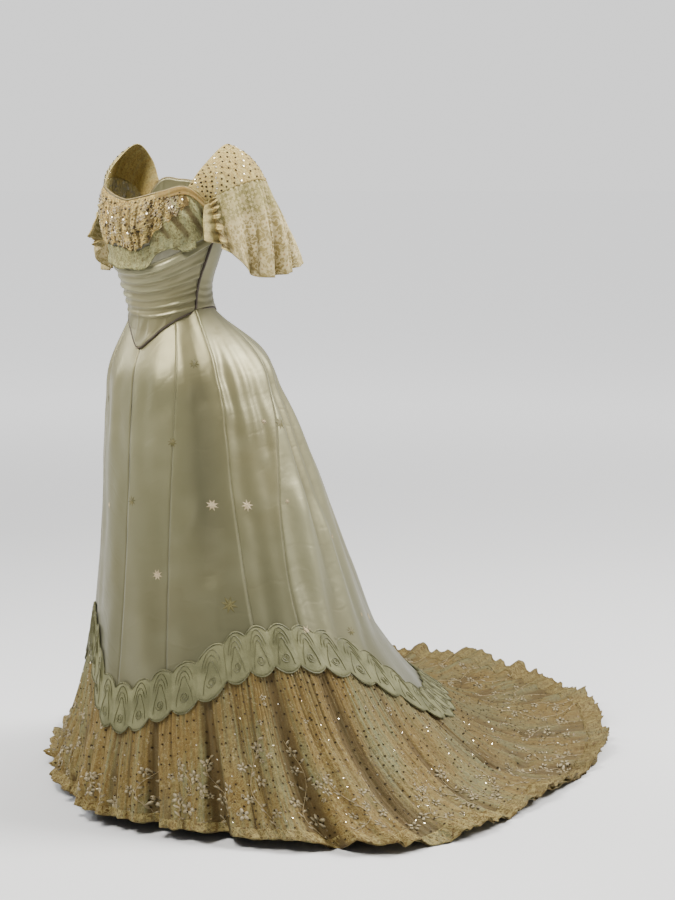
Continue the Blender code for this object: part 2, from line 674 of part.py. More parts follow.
def main():
    """Clear the scene and build the dress."""
    for leftover in list(bpy.data.objects):
        bpy.data.objects.remove(leftover, do_unlink=True)
    collection = bpy.data.collections.new("evening_dress")
    bpy.context.scene.collection.children.link(collection)
    make_bodice(collection)
    make_frills(collection)
    make_shoulders(collection)
    make_skirt(collection)


main()
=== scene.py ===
import math

import bpy
import numpy as np
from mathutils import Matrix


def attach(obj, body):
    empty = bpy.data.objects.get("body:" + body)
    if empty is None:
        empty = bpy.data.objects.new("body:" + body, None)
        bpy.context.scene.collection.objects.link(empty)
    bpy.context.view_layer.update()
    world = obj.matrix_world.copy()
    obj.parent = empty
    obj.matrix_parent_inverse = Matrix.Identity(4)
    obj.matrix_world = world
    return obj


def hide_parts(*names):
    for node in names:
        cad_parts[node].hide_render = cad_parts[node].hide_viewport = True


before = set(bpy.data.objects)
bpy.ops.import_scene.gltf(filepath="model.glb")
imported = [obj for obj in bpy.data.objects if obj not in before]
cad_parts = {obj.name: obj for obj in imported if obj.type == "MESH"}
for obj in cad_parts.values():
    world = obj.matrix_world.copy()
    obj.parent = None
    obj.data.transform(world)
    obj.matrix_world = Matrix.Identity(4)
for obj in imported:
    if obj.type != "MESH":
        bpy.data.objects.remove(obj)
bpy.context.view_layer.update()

# %% [markdown]
# This is an evening dress of about 1900 in pale sea-foam silk satin, worn-shaped and empty: a draped,
# pointed bodice, shoulder caps of sequinned net, lace sleeves, a gored skirt, a deep gathered flounce
# of gold-tan net over the satin, and a long train.
# The solids set the size and the place of every piece. Each visible piece is a finer surface on the
# same form, because satin and lace need folds of a few millimetres. The wearer faces -Y and their
# left is +X. A turn is an angle about the body axis in degrees, 0 at the front and 90 at the left.

# %% the part's solids
WAIST_HEIGHT = 1.10
LAP = 360.0
chance = np.random.default_rng(1900)

# %% [markdown]
# The camera stands at the photograph's angle, in front of the wearer's left side. A long lens far off
# keeps the upright lines upright, as a portrait photographer does.

# %% camera
eye = bpy.data.cameras.new("camera")
eye.lens = 85.32
eye.sensor_width = 36
eye.clip_end = 60
camera = bpy.data.objects.new("camera", eye)
HEADING = math.radians(35.567)
PITCH = math.radians(8.249)
camera.location = (2.89254, -3.44720, 0.30)
camera.rotation_euler = (math.pi / 2 - PITCH, 0, HEADING)
bpy.context.scene.collection.objects.link(camera)
bpy.context.scene.camera = camera
print("camera at", tuple(camera.location))

# %% [markdown]
# The shader helper. A material is a graph of nodes, which is long to build by hand. Wrapping a socket
# in a small class with operators lets a pattern be written as a formula, so 1 - mask adds a node.


# %% shader maths
class Shade:
    """A socket of a material. An expression on it adds Math nodes to the material."""

    def __init__(self, tree, socket=None):
        self.tree = tree
        self.socket = socket

    def node(self, kind, settings=None, inputs=None, output=0):
        """New node: its settings are set first, then the values or links of its sockets."""
        node = self.tree.nodes.new("ShaderNode" + kind)
        for key, value in (settings or {}).items():
            setattr(node, key, value)
        for key, value in (inputs or {}).items():
            if isinstance(value, Shade):
                self.tree.links.new(value.socket, node.inputs[key])
            else:
                node.inputs[key].default_value = value
        return Shade(self.tree, node.outputs[output])

    def math(self, operation, *terms):
        """Math node on terms, which are sockets or numbers."""
        return self.node("Math", {"operation": operation}, dict(enumerate(terms)))

    def __add__(self, other):
        return self.math("ADD", self, other)

    def __sub__(self, other):
        return self.math("SUBTRACT", self, other)

    def __rsub__(self, other):
        return self.math("SUBTRACT", other, self)

    def __mul__(self, other):
        return self.math("MULTIPLY", self, other)

    def __truediv__(self, other):
        return self.math("DIVIDE", self, other)

    def __pow__(self, other):
        return self.math("POWER", self, other)

    __radd__ = __add__
    __rmul__ = __mul__

    def step(self, low, high):
        """Soft step from 0 at low to 1 at high, which may be the lower number."""
        settings = {"interpolation_type": "SMOOTHSTEP"}
        if low < high:
            return self.node("MapRange", settings, {"Value": self, "From Min": low, "From Max": high})
        turned = {"Value": self, "From Min": high, "From Max": low, "To Min": 1.0, "To Max": 0.0}
        return self.node("MapRange", settings, turned)

    def mix(self, first, second):
        """Colour from first at 0 to second at 1."""
        first, second = (colour if isinstance(colour, Shade) else (*colour, 1) for colour in (first, second))
        return self.node("Mix", {"data_type": "RGBA"}, {0: self, 6: first, 7: second}, 2)

    def stretched(self, across, down, depth=1.0):
        """Coordinates times three numbers."""
        return self.node("VectorMath", {"operation": "MULTIPLY"}, {0: self, 1: (across, down, depth)})

    def axis(self, number):
        """One of the three numbers of these coordinates."""
        return self.node("SeparateXYZ", {}, {0: self}, number)

    def length(self):
        """Length of these coordinates as a vector."""
        return self.node("VectorMath", {"operation": "LENGTH"}, {0: self}, 1)

    def off_middle(self, middle=0.5):
        """Distance of a number from its middle value."""
        return self.math("ABSOLUTE", self - middle)

    def fold(self):
        """Fold attribute of the mesh, for painted shade and highlight: 0 in the valleys of the cloth and 1 on
        its ridges.
        """
        return self.node("Attribute", {"attribute_name": "fold"}, None, 2)

    def noise(self, scale, detail=2.0, rough=0.5):
        """Cloudy numbers about 0.5 on these coordinates."""
        inputs = {"Vector": self, "Scale": scale, "Detail": detail, "Roughness": rough}
        return self.node("TexNoise", {}, inputs)

    def cells(self, scale, feature="F1"):
        """Distance from the nearest of scattered points."""
        return self.node("TexVoronoi", {"feature": feature}, {"Vector": self, "Scale": scale})


def finish_of(name, roughness=0.5, **constants):
    """New material: it, its pen for nodes, its cloth coordinates in metres and its object coordinates."""
    material = bpy.data.materials.new(name)
    material.use_nodes = True
    shader = material.node_tree.nodes["Principled BSDF"]
    shader.inputs["Roughness"].default_value = roughness
    for key, value in constants.items():
        shader.inputs[key.replace("_", " ")].default_value = value
    pen = Shade(material.node_tree)
    cloth = pen.node("UVMap", {"uv_map": "cloth"})
    place = pen.node("TexCoord", output=3)
    return material, pen, cloth, place


def wear(material, **links):
    """Links fields to the sockets of a material's shader. bump is (height, depth in metres)."""
    tree = material.node_tree
    shader = tree.nodes["Principled BSDF"]
    bump = links.pop("bump", None)
    if bump:
        height, distance, strength = bump
        inputs = {"Height": height, "Distance": distance, "Strength": strength}
        links["Normal"] = height.node("Bump", {}, inputs)
    for key, field in links.items():
        tree.links.new(field.socket, shader.inputs[key.replace("_", " ")])
    return material


print("shader helper ready")

# %% [markdown]
# The shapes. The dress is described about the body axis: a reach from the axis for each turn and
# height, or for each turn and place along the cloth. Smooth curves run through short tables of sizes,
# the same ones that the solids have, and finer folds are added to them later.

# %% tables of the form
BODY_RINGS = np.array((
    (0.940, 0.124, 0.122, 0.122), (0.970, 0.112, 0.113, 0.114), (1.010, 0.098, 0.098, 0.104),
    (1.050, 0.092, 0.092, 0.094), (1.075, 0.092, 0.098, 0.078), (1.100, 0.095, 0.107, 0.067),
    (1.125, 0.101, 0.121, 0.069), (1.150, 0.110, 0.134, 0.077), (1.200, 0.126, 0.144, 0.094),
    (1.250, 0.138, 0.147, 0.105), (1.300, 0.147, 0.131, 0.112), (1.345, 0.147, 0.112, 0.112),
))
BASQUE_EDGE = (
    (0, 0.978), (11, 0.993), (24, 1.014), (42, 1.034), (72, 1.053), (120, 1.056), (150, 1.043), (180, 1.036),
)
NECK_EDGE = (
    (0, 1.281), (14, 1.287), (32, 1.298), (54, 1.305), (70, 1.272), (84, 1.240), (98, 1.238), (114, 1.266),
    (130, 1.316), (150, 1.318), (180, 1.312),
)
DRAPE_EDGE = ((-110, 1.200), (-60, 1.172), (-25, 1.152), (10, 1.146), (35, 1.162), (60, 1.190), (95, 1.214))
FRILL_EDGE = ((-70, 1.215), (-40, 1.194), (-10, 1.190), (17, 1.186), (31, 1.226), (45, 1.252), (60, 1.288))
OPENING_TURNS = ((1.04, 71.0), (1.10, 72.5), (1.15, 77.0), (1.24, 85.0))
OPENING_GAP = 0.0042
RIGHT_SEAM = -96.0
DRAPE_FOLDS = (
    (1.172, 1.128, 1.196, 0.010, 0.0052), (1.140, 1.110, 1.160, 0.009, 0.0036),
    (1.118, 1.092, 1.128, 0.009, 0.0044), (1.098, 1.074, 1.102, 0.008, 0.0034),
    (1.078, 1.058, 1.082, 0.008, 0.0038), (1.062, 1.040, 1.066, 0.007, 0.0026),
)
SKIRT_RINGS = (
    (0.10, 0.935, 0.975, (0.127, 0.138, 0.151, 0.162, 0.180, 0.178, 0.166, 0.178, 0.172, 0.146, 0.130, 0.126)),
    (0.19, 0.850, 0.880, (0.142, 0.158, 0.180, 0.203, 0.222, 0.224, 0.218, 0.220, 0.206, 0.168, 0.142, 0.138)),
    (0.36, 0.680, 0.690, (0.160, 0.182, 0.214, 0.252, 0.292, 0.314, 0.326, 0.308, 0.260, 0.190, 0.151, 0.153)),
    (0.52, 0.500, 0.500, (0.180, 0.206, 0.252, 0.308, 0.356, 0.388, 0.438, 0.392, 0.322, 0.212, 0.163, 0.166)),
    (0.67, 0.330, 0.310, (0.204, 0.232, 0.298, 0.380, 0.438, 0.484, 0.592, 0.512, 0.396, 0.240, 0.184, 0.182)),
    (0.79, 0.195, 0.140, (0.230, 0.258, 0.344, 0.462, 0.545, 0.634, 0.775, 0.680, 0.480, 0.280, 0.206, 0.198)),
    (0.90, 0.098, 0.022, (0.252, 0.284, 0.378, 0.560, 0.668, 0.846, 1.040, 0.940, 0.570, 0.322, 0.240, 0.214)),
    (1.00, 0.024, 0.004, (0.266, 0.296, 0.402, 0.650, 0.790, 1.080, 1.340, 1.310, 0.700, 0.355, 0.262, 0.230)),
)
TUCK_RISE = 0.014
TUCK_DROP = 0.006
TUCK_INSETS = (0.0046, 0.0040)
TUCK_FOOT_PLACE = 0.04
GORE_SEAMS = (
    ("front_left", 0.0, 6.0), ("side_front_left", 46.0, 35.0), ("side_left", 71.0, 72.0),
    ("back_left", 124.0, 88.0), ("back_right", 180.0, 180.0), ("side_right", 236.0, 272.0),
    ("side_front_right", 289.0, 288.0), ("front_right", 314.0, 325.0),
)
FLOUNCE_SEAM = (
    (-150, 0.790), (-110, 0.715), (-60, 0.640), (-26, 0.660), (0, 0.745), (15, 0.750), (30, 0.722),
    (48, 0.688), (63, 0.645), (80, 0.630), (98, 0.650), (113, 0.695), (130, 0.765), (155, 0.790),
    (180, 0.790),
)
FLOUNCE_CUTS = (
    ("front", -58.0, 14), ("left", 62.0, 14), ("back_left", 128.0, 14), ("back", 170.0, 12),
    ("back_right", 203.0, 12), ("right", 244.0, 10),
)
SKIRT_FOLDS = (
    (66.0, 74.0, 0.05, 0.24, 8.0, 0.008), (106.0, 100.0, 0.05, 0.62, 9.0, 0.010),
    (130.0, 122.0, 0.06, 0.66, 9.0, 0.012), (150.0, 144.0, 0.06, 0.70, 8.5, 0.015),
    (169.0, 166.0, 0.06, 0.74, 8.5, 0.017), (191.0, 194.0, 0.06, 0.74, 8.5, 0.017),
    (210.0, 216.0, 0.06, 0.70, 8.5, 0.015), (232.0, 240.0, 0.06, 0.64, 9.0, 0.010),
    (-8.0, -12.0, 0.76, 1.05, 6.0, 0.010), (34.0, 37.0, 0.74, 1.05, 6.0, 0.016),
    (58.0, 62.0, 0.74, 1.05, 6.0, 0.014), (84.0, 84.0, 0.74, 1.05, 5.0, 0.020),
    (300.0, 302.0, 0.74, 1.05, 6.0, 0.010),
)
CAP_ROWS = (
    ((0.1215, -0.042, 1.350), (0.170, -0.018, 1.303)),
    ((0.1230, 0.034, 1.394), (0.2000, 0.045, 1.322)),
    ((0.1190, 0.080, 1.362), (0.180, 0.092, 1.304)),
)
CAP_ROOTS = ((54.0, 69.0), (129.0, 115.0))
SLEEVE_HEM = (
    (0.150, -0.064, 1.205), (0.178, -0.014, 1.168), (0.196, 0.024, 1.126), (0.220, 0.056, 1.124),
    (0.238, 0.104, 1.138), (0.205, 0.148, 1.152), (0.150, 0.142, 1.185),
)
print(len(GORE_SEAMS), "gores,", len(FLOUNCE_CUTS), "flounce sections")


# %% curves through the tables
def spline(stations, values, at):
    """Smooth curve through values at stations: a cubic on each span, whose slope at a station is the
    average of the slopes beside it, each weighted by the other span's length."""
    stations = np.asarray(stations, float)
    values = np.asarray(values, float)
    at = np.asarray(at, float)
    steps = np.diff(stations).reshape((-1,) + (1,) * (values.ndim - 1))
    chords = np.diff(values, axis=0) / steps
    slopes = np.empty_like(values)
    slopes[0] = chords[0]
    slopes[-1] = chords[-1]
    slopes[1:-1] = (chords[:-1] * steps[1:] + chords[1:] * steps[:-1]) / (steps[1:] + steps[:-1])
    before = np.clip(np.searchsorted(stations, at, side="right") - 1, 0, len(stations) - 2)
    after = before + 1
    width = stations[after] - stations[before]
    part = (at - stations[before]) / width
    if values.ndim == 2 and at.ndim == 1 and values.shape[1] == at.size:
        column = np.arange(at.size)
        before = (before, column)
        after = (after, column)
    else:
        width, part = (array.reshape(array.shape + (1,) * (values.ndim - 1)) for array in (width, part))
    square = part * part
    cube = square * part
    return (
        (2 * cube - 3 * square + 1) * values[before]
        + (cube - 2 * square + part) * width * slopes[before]
        + (3 * square - 2 * cube) * values[after]
        + (cube - square) * width * slopes[after]
    )


def wrapped(turn):
    """Turn brought into the lap from -180 to 180."""
    return np.mod(np.asarray(turn, float) + LAP / 2, LAP) - LAP / 2


def around(rows, turn):
    """Smooth closed curve through (turn, value) rows that cover one lap."""
    turns = np.array([row[0] for row in rows], float)
    turns = np.concatenate([turns - LAP, turns, turns + LAP])
    return spline(turns, np.tile([row[1] for row in rows], 3), wrapped(turn))


def both_sides(rows, turn):
    """Smooth closed curve through rows from 0 to 180, alike on both sides of the body."""
    return around(tuple((-place, value) for place, value in rows[-2:0:-1]) + tuple(rows), turn)


def along(rows, place):
    """Smooth open curve through (place, value) rows, level past its ends."""
    stations = [row[0] for row in rows]
    return spline(stations, [row[1] for row in rows], np.clip(place, stations[0], stations[-1]))


def bump(offset, width):
    """Soft ridge (1 - (offset / width)^2)^2, zero from one width away."""
    ratio = np.clip(np.abs(offset) / width, 0.0, 1.0)
    return (1 - ratio * ratio) ** 2


def smooth(low, high, value):
    """Soft step 3r^2 - 2r^3 from 0 at low to 1 at high."""
    ratio = np.clip((value - low) / (high - low), 0.0, 1.0)
    return ratio * ratio * (3 - 2 * ratio)


def ripple(*places, seed=0, waves=5):
    """Gentle uneven field between -1 and 1: a sum of sines with fixed random directions."""
    pick = np.random.default_rng(seed)
    total = 0.0
    for _ in range(waves):
        phase = pick.uniform(0, 2 * np.pi)
        for place in places:
            phase = phase + place * pick.uniform(-1, 1) * 2 * np.pi
        total = total + np.sin(phase)
    return total / waves


def unit_grid(columns, rows):
    """Shares from 0 to 1 across and down a grid, as one row and one column."""
    return np.linspace(0, 1, columns)[None, :], np.linspace(0, 1, rows)[:, None]


print("edge of the bodice at the left", round(float(both_sides(BASQUE_EDGE, 72.0)), 3))


# %% body, skirt and flounce
def basque(turn):
    """Height of the bodice's lower edge."""
    return both_sides(BASQUE_EDGE, turn)


def neck(turn):
    """Height of the bodice's upper edge."""
    return both_sides(NECK_EDGE, turn)


def drape_top(turn):
    """Height of the upper edge of the draped front."""
    return along(DRAPE_EDGE, wrapped(turn))


def body_reach(turn, height):
    """Reach of an oval with its own side, front and back half-axes at each height."""
    side, front, back = (spline(BODY_RINGS[:, 0], BODY_RINGS[:, column], height) for column in (1, 2, 3))
    angle = np.radians(turn)
    depth = np.where(np.cos(angle) > 0, front, back)
    return 1 / np.sqrt((np.sin(angle) / side) ** 2 + (np.cos(angle) / depth) ** 2)


def at_polar(turn, reach, height):
    """Point (reach sin turn, -reach cos turn, height), with the waist at zero height."""
    angle = np.radians(turn)
    return np.stack([reach * np.sin(angle), -reach * np.cos(angle), height - WAIST_HEIGHT + 0 * reach], -1)


def bodice_point(turn, height, lift=0.0):
    """Point on the bodice, lifted off its outer face."""
    return at_polar(turn, body_reach(turn, height) + lift, height)


def skirt_profile(turn, place):
    """Reach and height of the smooth skirt at a turn, at a place from waist 0 to hem 1."""
    turn, place = (array.astype(float) for array in np.broadcast_arrays(turn, place))
    shape = turn.shape
    turn, place = turn.ravel(), place.ravel()
    stations = [0.0, TUCK_FOOT_PLACE] + [ring[0] for ring in SKIRT_RINGS]
    heights = [basque(turn) + TUCK_RISE, basque(turn) - TUCK_DROP]
    reaches = [body_reach(turn, level) - inset for level, inset in zip(heights, TUCK_INSETS)]
    to_back = (1 - np.cos(np.radians(turn))) / 2
    for _, front, back, row in SKIRT_RINGS:
        reaches.append(around([(30.0 * number, value) for number, value in enumerate(row)], turn))
        heights.append(front + (back - front) * to_back)
    reach = spline(stations, np.array(reaches), place)
    height = spline(stations, np.array(heights), place)
    return reach.reshape(shape), height.reshape(shape)


def skirt_relief(turn, place):
    """How far the long folds stand out: each a soft ridge that wanders from one turn to another."""
    relief = np.zeros(np.broadcast(turn, place).shape)
    for start_turn, end_turn, start, end, width, depth in SKIRT_FOLDS:
        share = np.clip((place - start) / (end - start), 0.0, 1.0)
        ridge = start_turn + (end_turn - start_turn) * share
        fade = smooth(start, start + 0.35 * (end - start), place) * (1 - smooth(0.72, 1.0, share) * (end < 1))
        relief += depth * fade * bump(wrapped(turn - ridge), width)
    return relief


def off_surface(surface, across, down, lift):
    """Points of surface(across, down) moved along its normal, the cross product of its slopes."""
    small = 1e-4
    span = surface(across + small, down) - surface(across - small, down)
    fall = surface(across, down + small * 0.01) - surface(across, down - small * 0.01)
    normal = np.cross(fall, span)
    normal /= np.linalg.norm(normal, axis=-1, keepdims=True)
    return surface(across, down) + normal * np.asarray(lift)[..., None]


def skirt_point(turn, place):
    """Point on the satin skirt with its long folds."""
    reach, height = skirt_profile(turn, place)
    return at_polar(turn, reach + skirt_relief(turn, place), height)


def hem_phase(turn):
    """Gather waves counted along the hem from the front of the first flounce section."""
    starts = [cut[1] for cut in FLOUNCE_CUTS] + [FLOUNCE_CUTS[0][1] + LAP]
    counts = np.cumsum([0] + [cut[2] for cut in FLOUNCE_CUTS])
    lap = np.mod(turn - starts[0], LAP) + starts[0]
    past_end = turn - starts[0] >= LAP - 1e-6
    return np.interp(np.where(past_end, turn, lap), starts, counts)


def gathered(turn, place):
    """Share of the flounce's depth at a place, 0 at its seam and 1 at the hem."""
    seam = around(FLOUNCE_SEAM, turn)
    return np.clip((place - seam) / (1 - seam), 0.0, 1.0)


reach, height = skirt_profile(np.array([90.0, 180.0]), np.array([1.0, 1.0]))
print("hem reach at the left and the back", reach.round(3))

# %% [markdown]
# The studio: a wide pale floor that runs out evenly lit, as a long studio sheet does, so that the dress
# stands clear from every side. The strongest of the soft lights stands at the viewer's right, so that the
# folds of the side and the back shine while the front panel stays softer.

# %% studio
FLOOR = -WAIST_HEIGHT
FLOOR_REACH = 80.0
GLOW_FROM, GLOW_FULL = 2.2, 7.5
FLOOR_GLOW = (1.08, 1.08, 1.08)
SEEN_SKY = (1.25, 1.25, 1.25, 1)
TOWARDS = np.array([-math.sin(HEADING), math.cos(HEADING)])
RIGHTWARDS = np.array([math.cos(HEADING), math.sin(HEADING)])


def new_mesh(name, vertices, faces):
    """Smooth object from arrays of vertices and of faces that all have the same number of corners."""
    mesh = bpy.data.meshes.new(name)
    mesh.vertices.add(len(vertices))
    mesh.vertices.foreach_set("co", vertices.astype(np.float32).ravel())
    mesh.loops.add(faces.size)
    mesh.loops.foreach_set("vertex_index", faces.astype(np.int32).ravel())
    mesh.polygons.add(len(faces))
    mesh.polygons.foreach_set("loop_start", np.arange(0, faces.size, faces.shape[1], dtype=np.int32))
    mesh.update(calc_edges=True)
    mesh.shade_smooth()
    piece = bpy.data.objects.new(name, mesh)
    bpy.context.scene.collection.objects.link(piece)
    return piece


def grid_quads(rows, columns):
    """Corner numbers of the quads of a grid, row by row."""
    index = np.arange(rows * columns).reshape(rows, columns)
    return np.stack([index[:-1, :-1], index[1:, :-1], index[1:, 1:], index[:-1, 1:]], -1).reshape(-1, 4)


def grid_mesh(name, points, cloth=None, fold=None):
    """Object of quads over a grid of points (rows, columns, 3), with a UV map called cloth, in metres, and
    an attribute called fold, which the finishes use to paint shade and highlight: 0 in the valleys of the
    cloth and 1 on its ridges."""
    quads = grid_quads(*points.shape[:2])
    piece = new_mesh(name, points.reshape(-1, 3), quads)
    if cloth is not None:
        uv = cloth.reshape(-1, 2)[quads.ravel()].astype(np.float32).ravel()
        piece.data.uv_layers.new(name="cloth").data.foreach_set("uv", uv)
    if fold is not None:
        values = fold.astype(np.float32).ravel()
        piece.data.attributes.new("fold", "FLOAT", "POINT").data.foreach_set("value", values)
    return piece


def soft_light(name, right, forward, up, size, power, colour, aim=(0.15, 0.15, -0.45)):
    """Square lamp placed in the camera's directions about the dress and aimed at it."""
    lamp = bpy.data.lights.new(name, "AREA")
    lamp.size = size
    lamp.energy = power
    lamp.color = colour
    holder = bpy.data.objects.new(name, lamp)
    ground = right * RIGHTWARDS + forward * TOWARDS
    place = np.array([ground[0], ground[1], up])
    holder.location = place
    beam = np.array(aim) - place
    flat = math.hypot(beam[0], beam[1])
    holder.rotation_euler = (math.atan2(flat, -beam[2]), 0, math.atan2(beam[1], beam[0]) - math.pi / 2)
    bpy.context.scene.collection.objects.link(holder)


corners = FLOOR_REACH * np.array([[[-1.0, 1.0], [1.0, 1.0]], [[-1.0, -1.0], [1.0, -1.0]]])
floor_points = np.concatenate([corners, np.full((2, 2, 1), FLOOR - 0.0005)], -1)
room = grid_mesh("studio_floor", floor_points)
paper, _, _, spot = finish_of("studio_paper", 0.9, Emission_Strength=1.0)
distant = spot.length().step(GLOW_FROM, GLOW_FULL)
wear(
    paper, Base_Color=spot.noise(0.8, 2).mix((0.69, 0.69, 0.69), (0.72, 0.72, 0.72)),
    Emission_Color=distant.mix((0.0, 0.0, 0.0), FLOOR_GLOW),
)
room.data.materials.append(paper)

world = bpy.data.worlds.new("studio")
world.use_nodes = True
tree = world.node_tree
sky = tree.nodes["Background"]
sky.inputs["Color"].default_value = (0.95, 0.97, 1.0, 1)
sky.inputs["Strength"].default_value = 0.20
seen = tree.nodes.new("ShaderNodeBackground")
seen.inputs["Color"].default_value = SEEN_SKY
choice = tree.nodes.new("ShaderNodeMixShader")
rays = tree.nodes.new("ShaderNodeLightPath")
tree.links.new(rays.outputs["Is Camera Ray"], choice.inputs[0])
tree.links.new(sky.outputs[0], choice.inputs[1])
tree.links.new(seen.outputs[0], choice.inputs[2])
tree.links.new(choice.outputs[0], tree.nodes["World Output"].inputs["Surface"])
bpy.context.scene.world = world
soft_light("window_light", 3.2, 0.15, 2.2, 1.8, 335, (1.0, 0.985, 0.96))
soft_light("front_light", -1.0, -1.3, 1.9, 1.3, 140, (1.0, 0.975, 0.93), (0.0, -0.05, 0.1))
soft_light("back_light", -3.0, 0.8, 1.5, 1.8, 110, (0.97, 0.98, 1.0), (0, 0, -0.1))
soft_light("floor_light", 1.5, 1.8, 3.0, 3.0, 150, (1.0, 1.0, 1.0), (-2.2, 3.4, -0.8))
print("floor", FLOOR_REACH, "m each way")

# %% [markdown]
# The satin is a heavy silk with a soft gloss. Its pale green turns a little warmer and cooler in broad
# clouds, as old silk does. Painted highlight makes its ridges paler and painted shade makes its valleys
# darker, and painted shade darkens and cools it a little towards the floor. Small wrinkles and creases
# come from noise in the bump.

# %% satin
SATIN_GREEN = (0.170, 0.161, 0.080)
SATIN_WARM = (0.195, 0.172, 0.080)
SATIN_PALE_AND_HIGHLIGHT = (0.290, 0.280, 0.160)
PAINTED_LOW_SHADE = (0.60, 0.62, 0.66)
PAINTED_VALLEY_SHADE = 0.42


def satin_finish(name, green, warm, pale, roughness=0.41):
    """Satin: cloudy colour, painted shade and highlight that follow the folds, painted shade low down, small
    wrinkles and creases, and uneven gloss.
    """
    material, pen, cloth, place = finish_of(
        name, roughness, Metallic=0.50, Sheen_Weight=0.10, Sheen_Roughness=0.5, Specular_IOR_Level=0.6,
    )
    clouds = place.noise(2.6, 3.0)
    threads = cloth.stretched(900.0, 60.0).noise(1.0, 2.0)
    wrinkles = place.noise(34.0, 3.0, 0.55)
    creases = place.noise(11.0, 2.0, 0.5)
    colour = clouds.step(0.36, 0.66).mix(green, warm)
    blotches = place.noise(5.5, 2.0, 0.6)
    colour = (blotches.step(0.50, 0.70) * 0.45).mix(colour, pale)
    pulls = cloth.stretched(10.0, 34.0).noise(1.0, 3.0, 0.6)
    slants = place.stretched(26.0, 26.0, 9.0).noise(1.0, 2.0)
    fold = pen.fold()
    # Painted shade: darker and cooler towards the floor, then darker in the valleys of the fold attribute, with
    # a painted highlight on its ridges.
    low_shade_mask = place.axis(2).step(-0.25, -0.95)
    colour = (low_shade_mask * 0.75).mix(colour, [tint * channel for tint, channel in zip(PAINTED_LOW_SHADE, green)])
    colour = (fold.step(0.5, 0.0) * 0.60).mix(colour, [PAINTED_VALLEY_SHADE * channel for channel in green])
    colour = (fold.step(0.5, 1.0) * 0.60).mix(colour, pale)
    lines = cloth.stretched(6.0, 13.0).noise(1.0, 2.0).off_middle().step(0.0, 0.06)
    height = wrinkles * 0.00030 + creases * 0.0011 + pulls * 0.0006 + slants * 0.0006 + lines * 0.00022
    height = height + threads * 0.00005
    return wear(
        material, Base_Color=colour, Roughness=wrinkles * 0.12 + (roughness - 0.05), bump=(height, 1.0, 0.8),
    )


satin = satin_finish("sea_foam_satin", SATIN_GREEN, SATIN_WARM, SATIN_PALE_AND_HIGHLIGHT)
print("satin", SATIN_GREEN)

# %% [markdown]
# Each cloth piece is a fine grid on the outer face, given its thickness inwards by Solidify. Its flat
# cut is measured from the grid: the longest row, the longest column and the area, times the fullness
# where the cloth is gathered.

# %% making a cloth piece
SHEETS = []
FLOOR_CLEARANCE = 0.0012
LEAST_FILL = 0.40


def metres(points, turned=None):
    """Cloth coordinates of a grid: length along each row from its middle, and down each column."""
    across = np.linalg.norm(np.diff(points, axis=1), axis=-1)
    across = np.concatenate([np.zeros((points.shape[0], 1)), np.cumsum(across, axis=1)], 1)
    across = across - across[:, [points.shape[1] // 2]]
    down = np.linalg.norm(np.diff(points, axis=0), axis=-1)
    down = np.concatenate([np.zeros((1, points.shape[1])), np.cumsum(down, axis=0)], 0)
    return np.stack([across if turned is None else turned, down], -1)


def ride_with(piece, material, slot, *nodes):
    """Gives the piece its material and body, and the solids that it stands for. Its slot is not used."""
    piece.data.materials.append(material)
    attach(piece, "root")
    if nodes:
        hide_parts(*nodes)
    return piece


def cloth_piece(name, points, material, slot, nodes, thickness, held, rests_on, fullness=1.0, cloth=None,
                fold=None):
    """Solid cloth from a grid of outer points, listed with its flat cut. Its length is shortened
    where the cloth would fill less than the least share of its flat rectangle."""
    points = points.copy()
    points[..., 2] = np.maximum(points[..., 2], FLOOR + FLOOR_CLEARANCE + 0.2 * thickness)
    uv = metres(points) if cloth is None else cloth
    fold = np.full(points.shape[:2], 0.5) if fold is None else fold
    piece = ride_with(grid_mesh(name, points, uv, fold), material, slot, *nodes)
    wall = piece.modifiers.new("thickness", "SOLIDIFY")
    wall.thickness = thickness
    wall.offset = -1
    rows = np.linalg.norm(np.diff(points, axis=1), axis=-1).sum(1).max() * fullness
    columns = np.linalg.norm(np.diff(points, axis=0), axis=-1).sum(0).max()
    one = np.cross(points[1:, :-1] - points[:-1, :-1], points[:-1, 1:] - points[:-1, :-1])
    two = np.cross(points[1:, :-1] - points[1:, 1:], points[:-1, 1:] - points[1:, 1:])
    area = (np.linalg.norm(one, axis=-1) + np.linalg.norm(two, axis=-1)).sum() / 2 * fullness
    area = min(area, 0.999 * rows * columns)
    columns = min(columns, area / (LEAST_FILL * rows))
    SHEETS.append((piece, (float(rows), float(columns)), held, rests_on, float(area)))
    return piece


print("cloth helper ready")

# %% [markdown]
# The skirt is cut in gores that flare to the flounce. On top of the solids' long folds come the small
# ones: a nipped pleat at the left side, pulls from the waist, hollows beside the seams, and soft
# uneven rolls of a few millimetres. Each is a stroke between two places on the skirt.

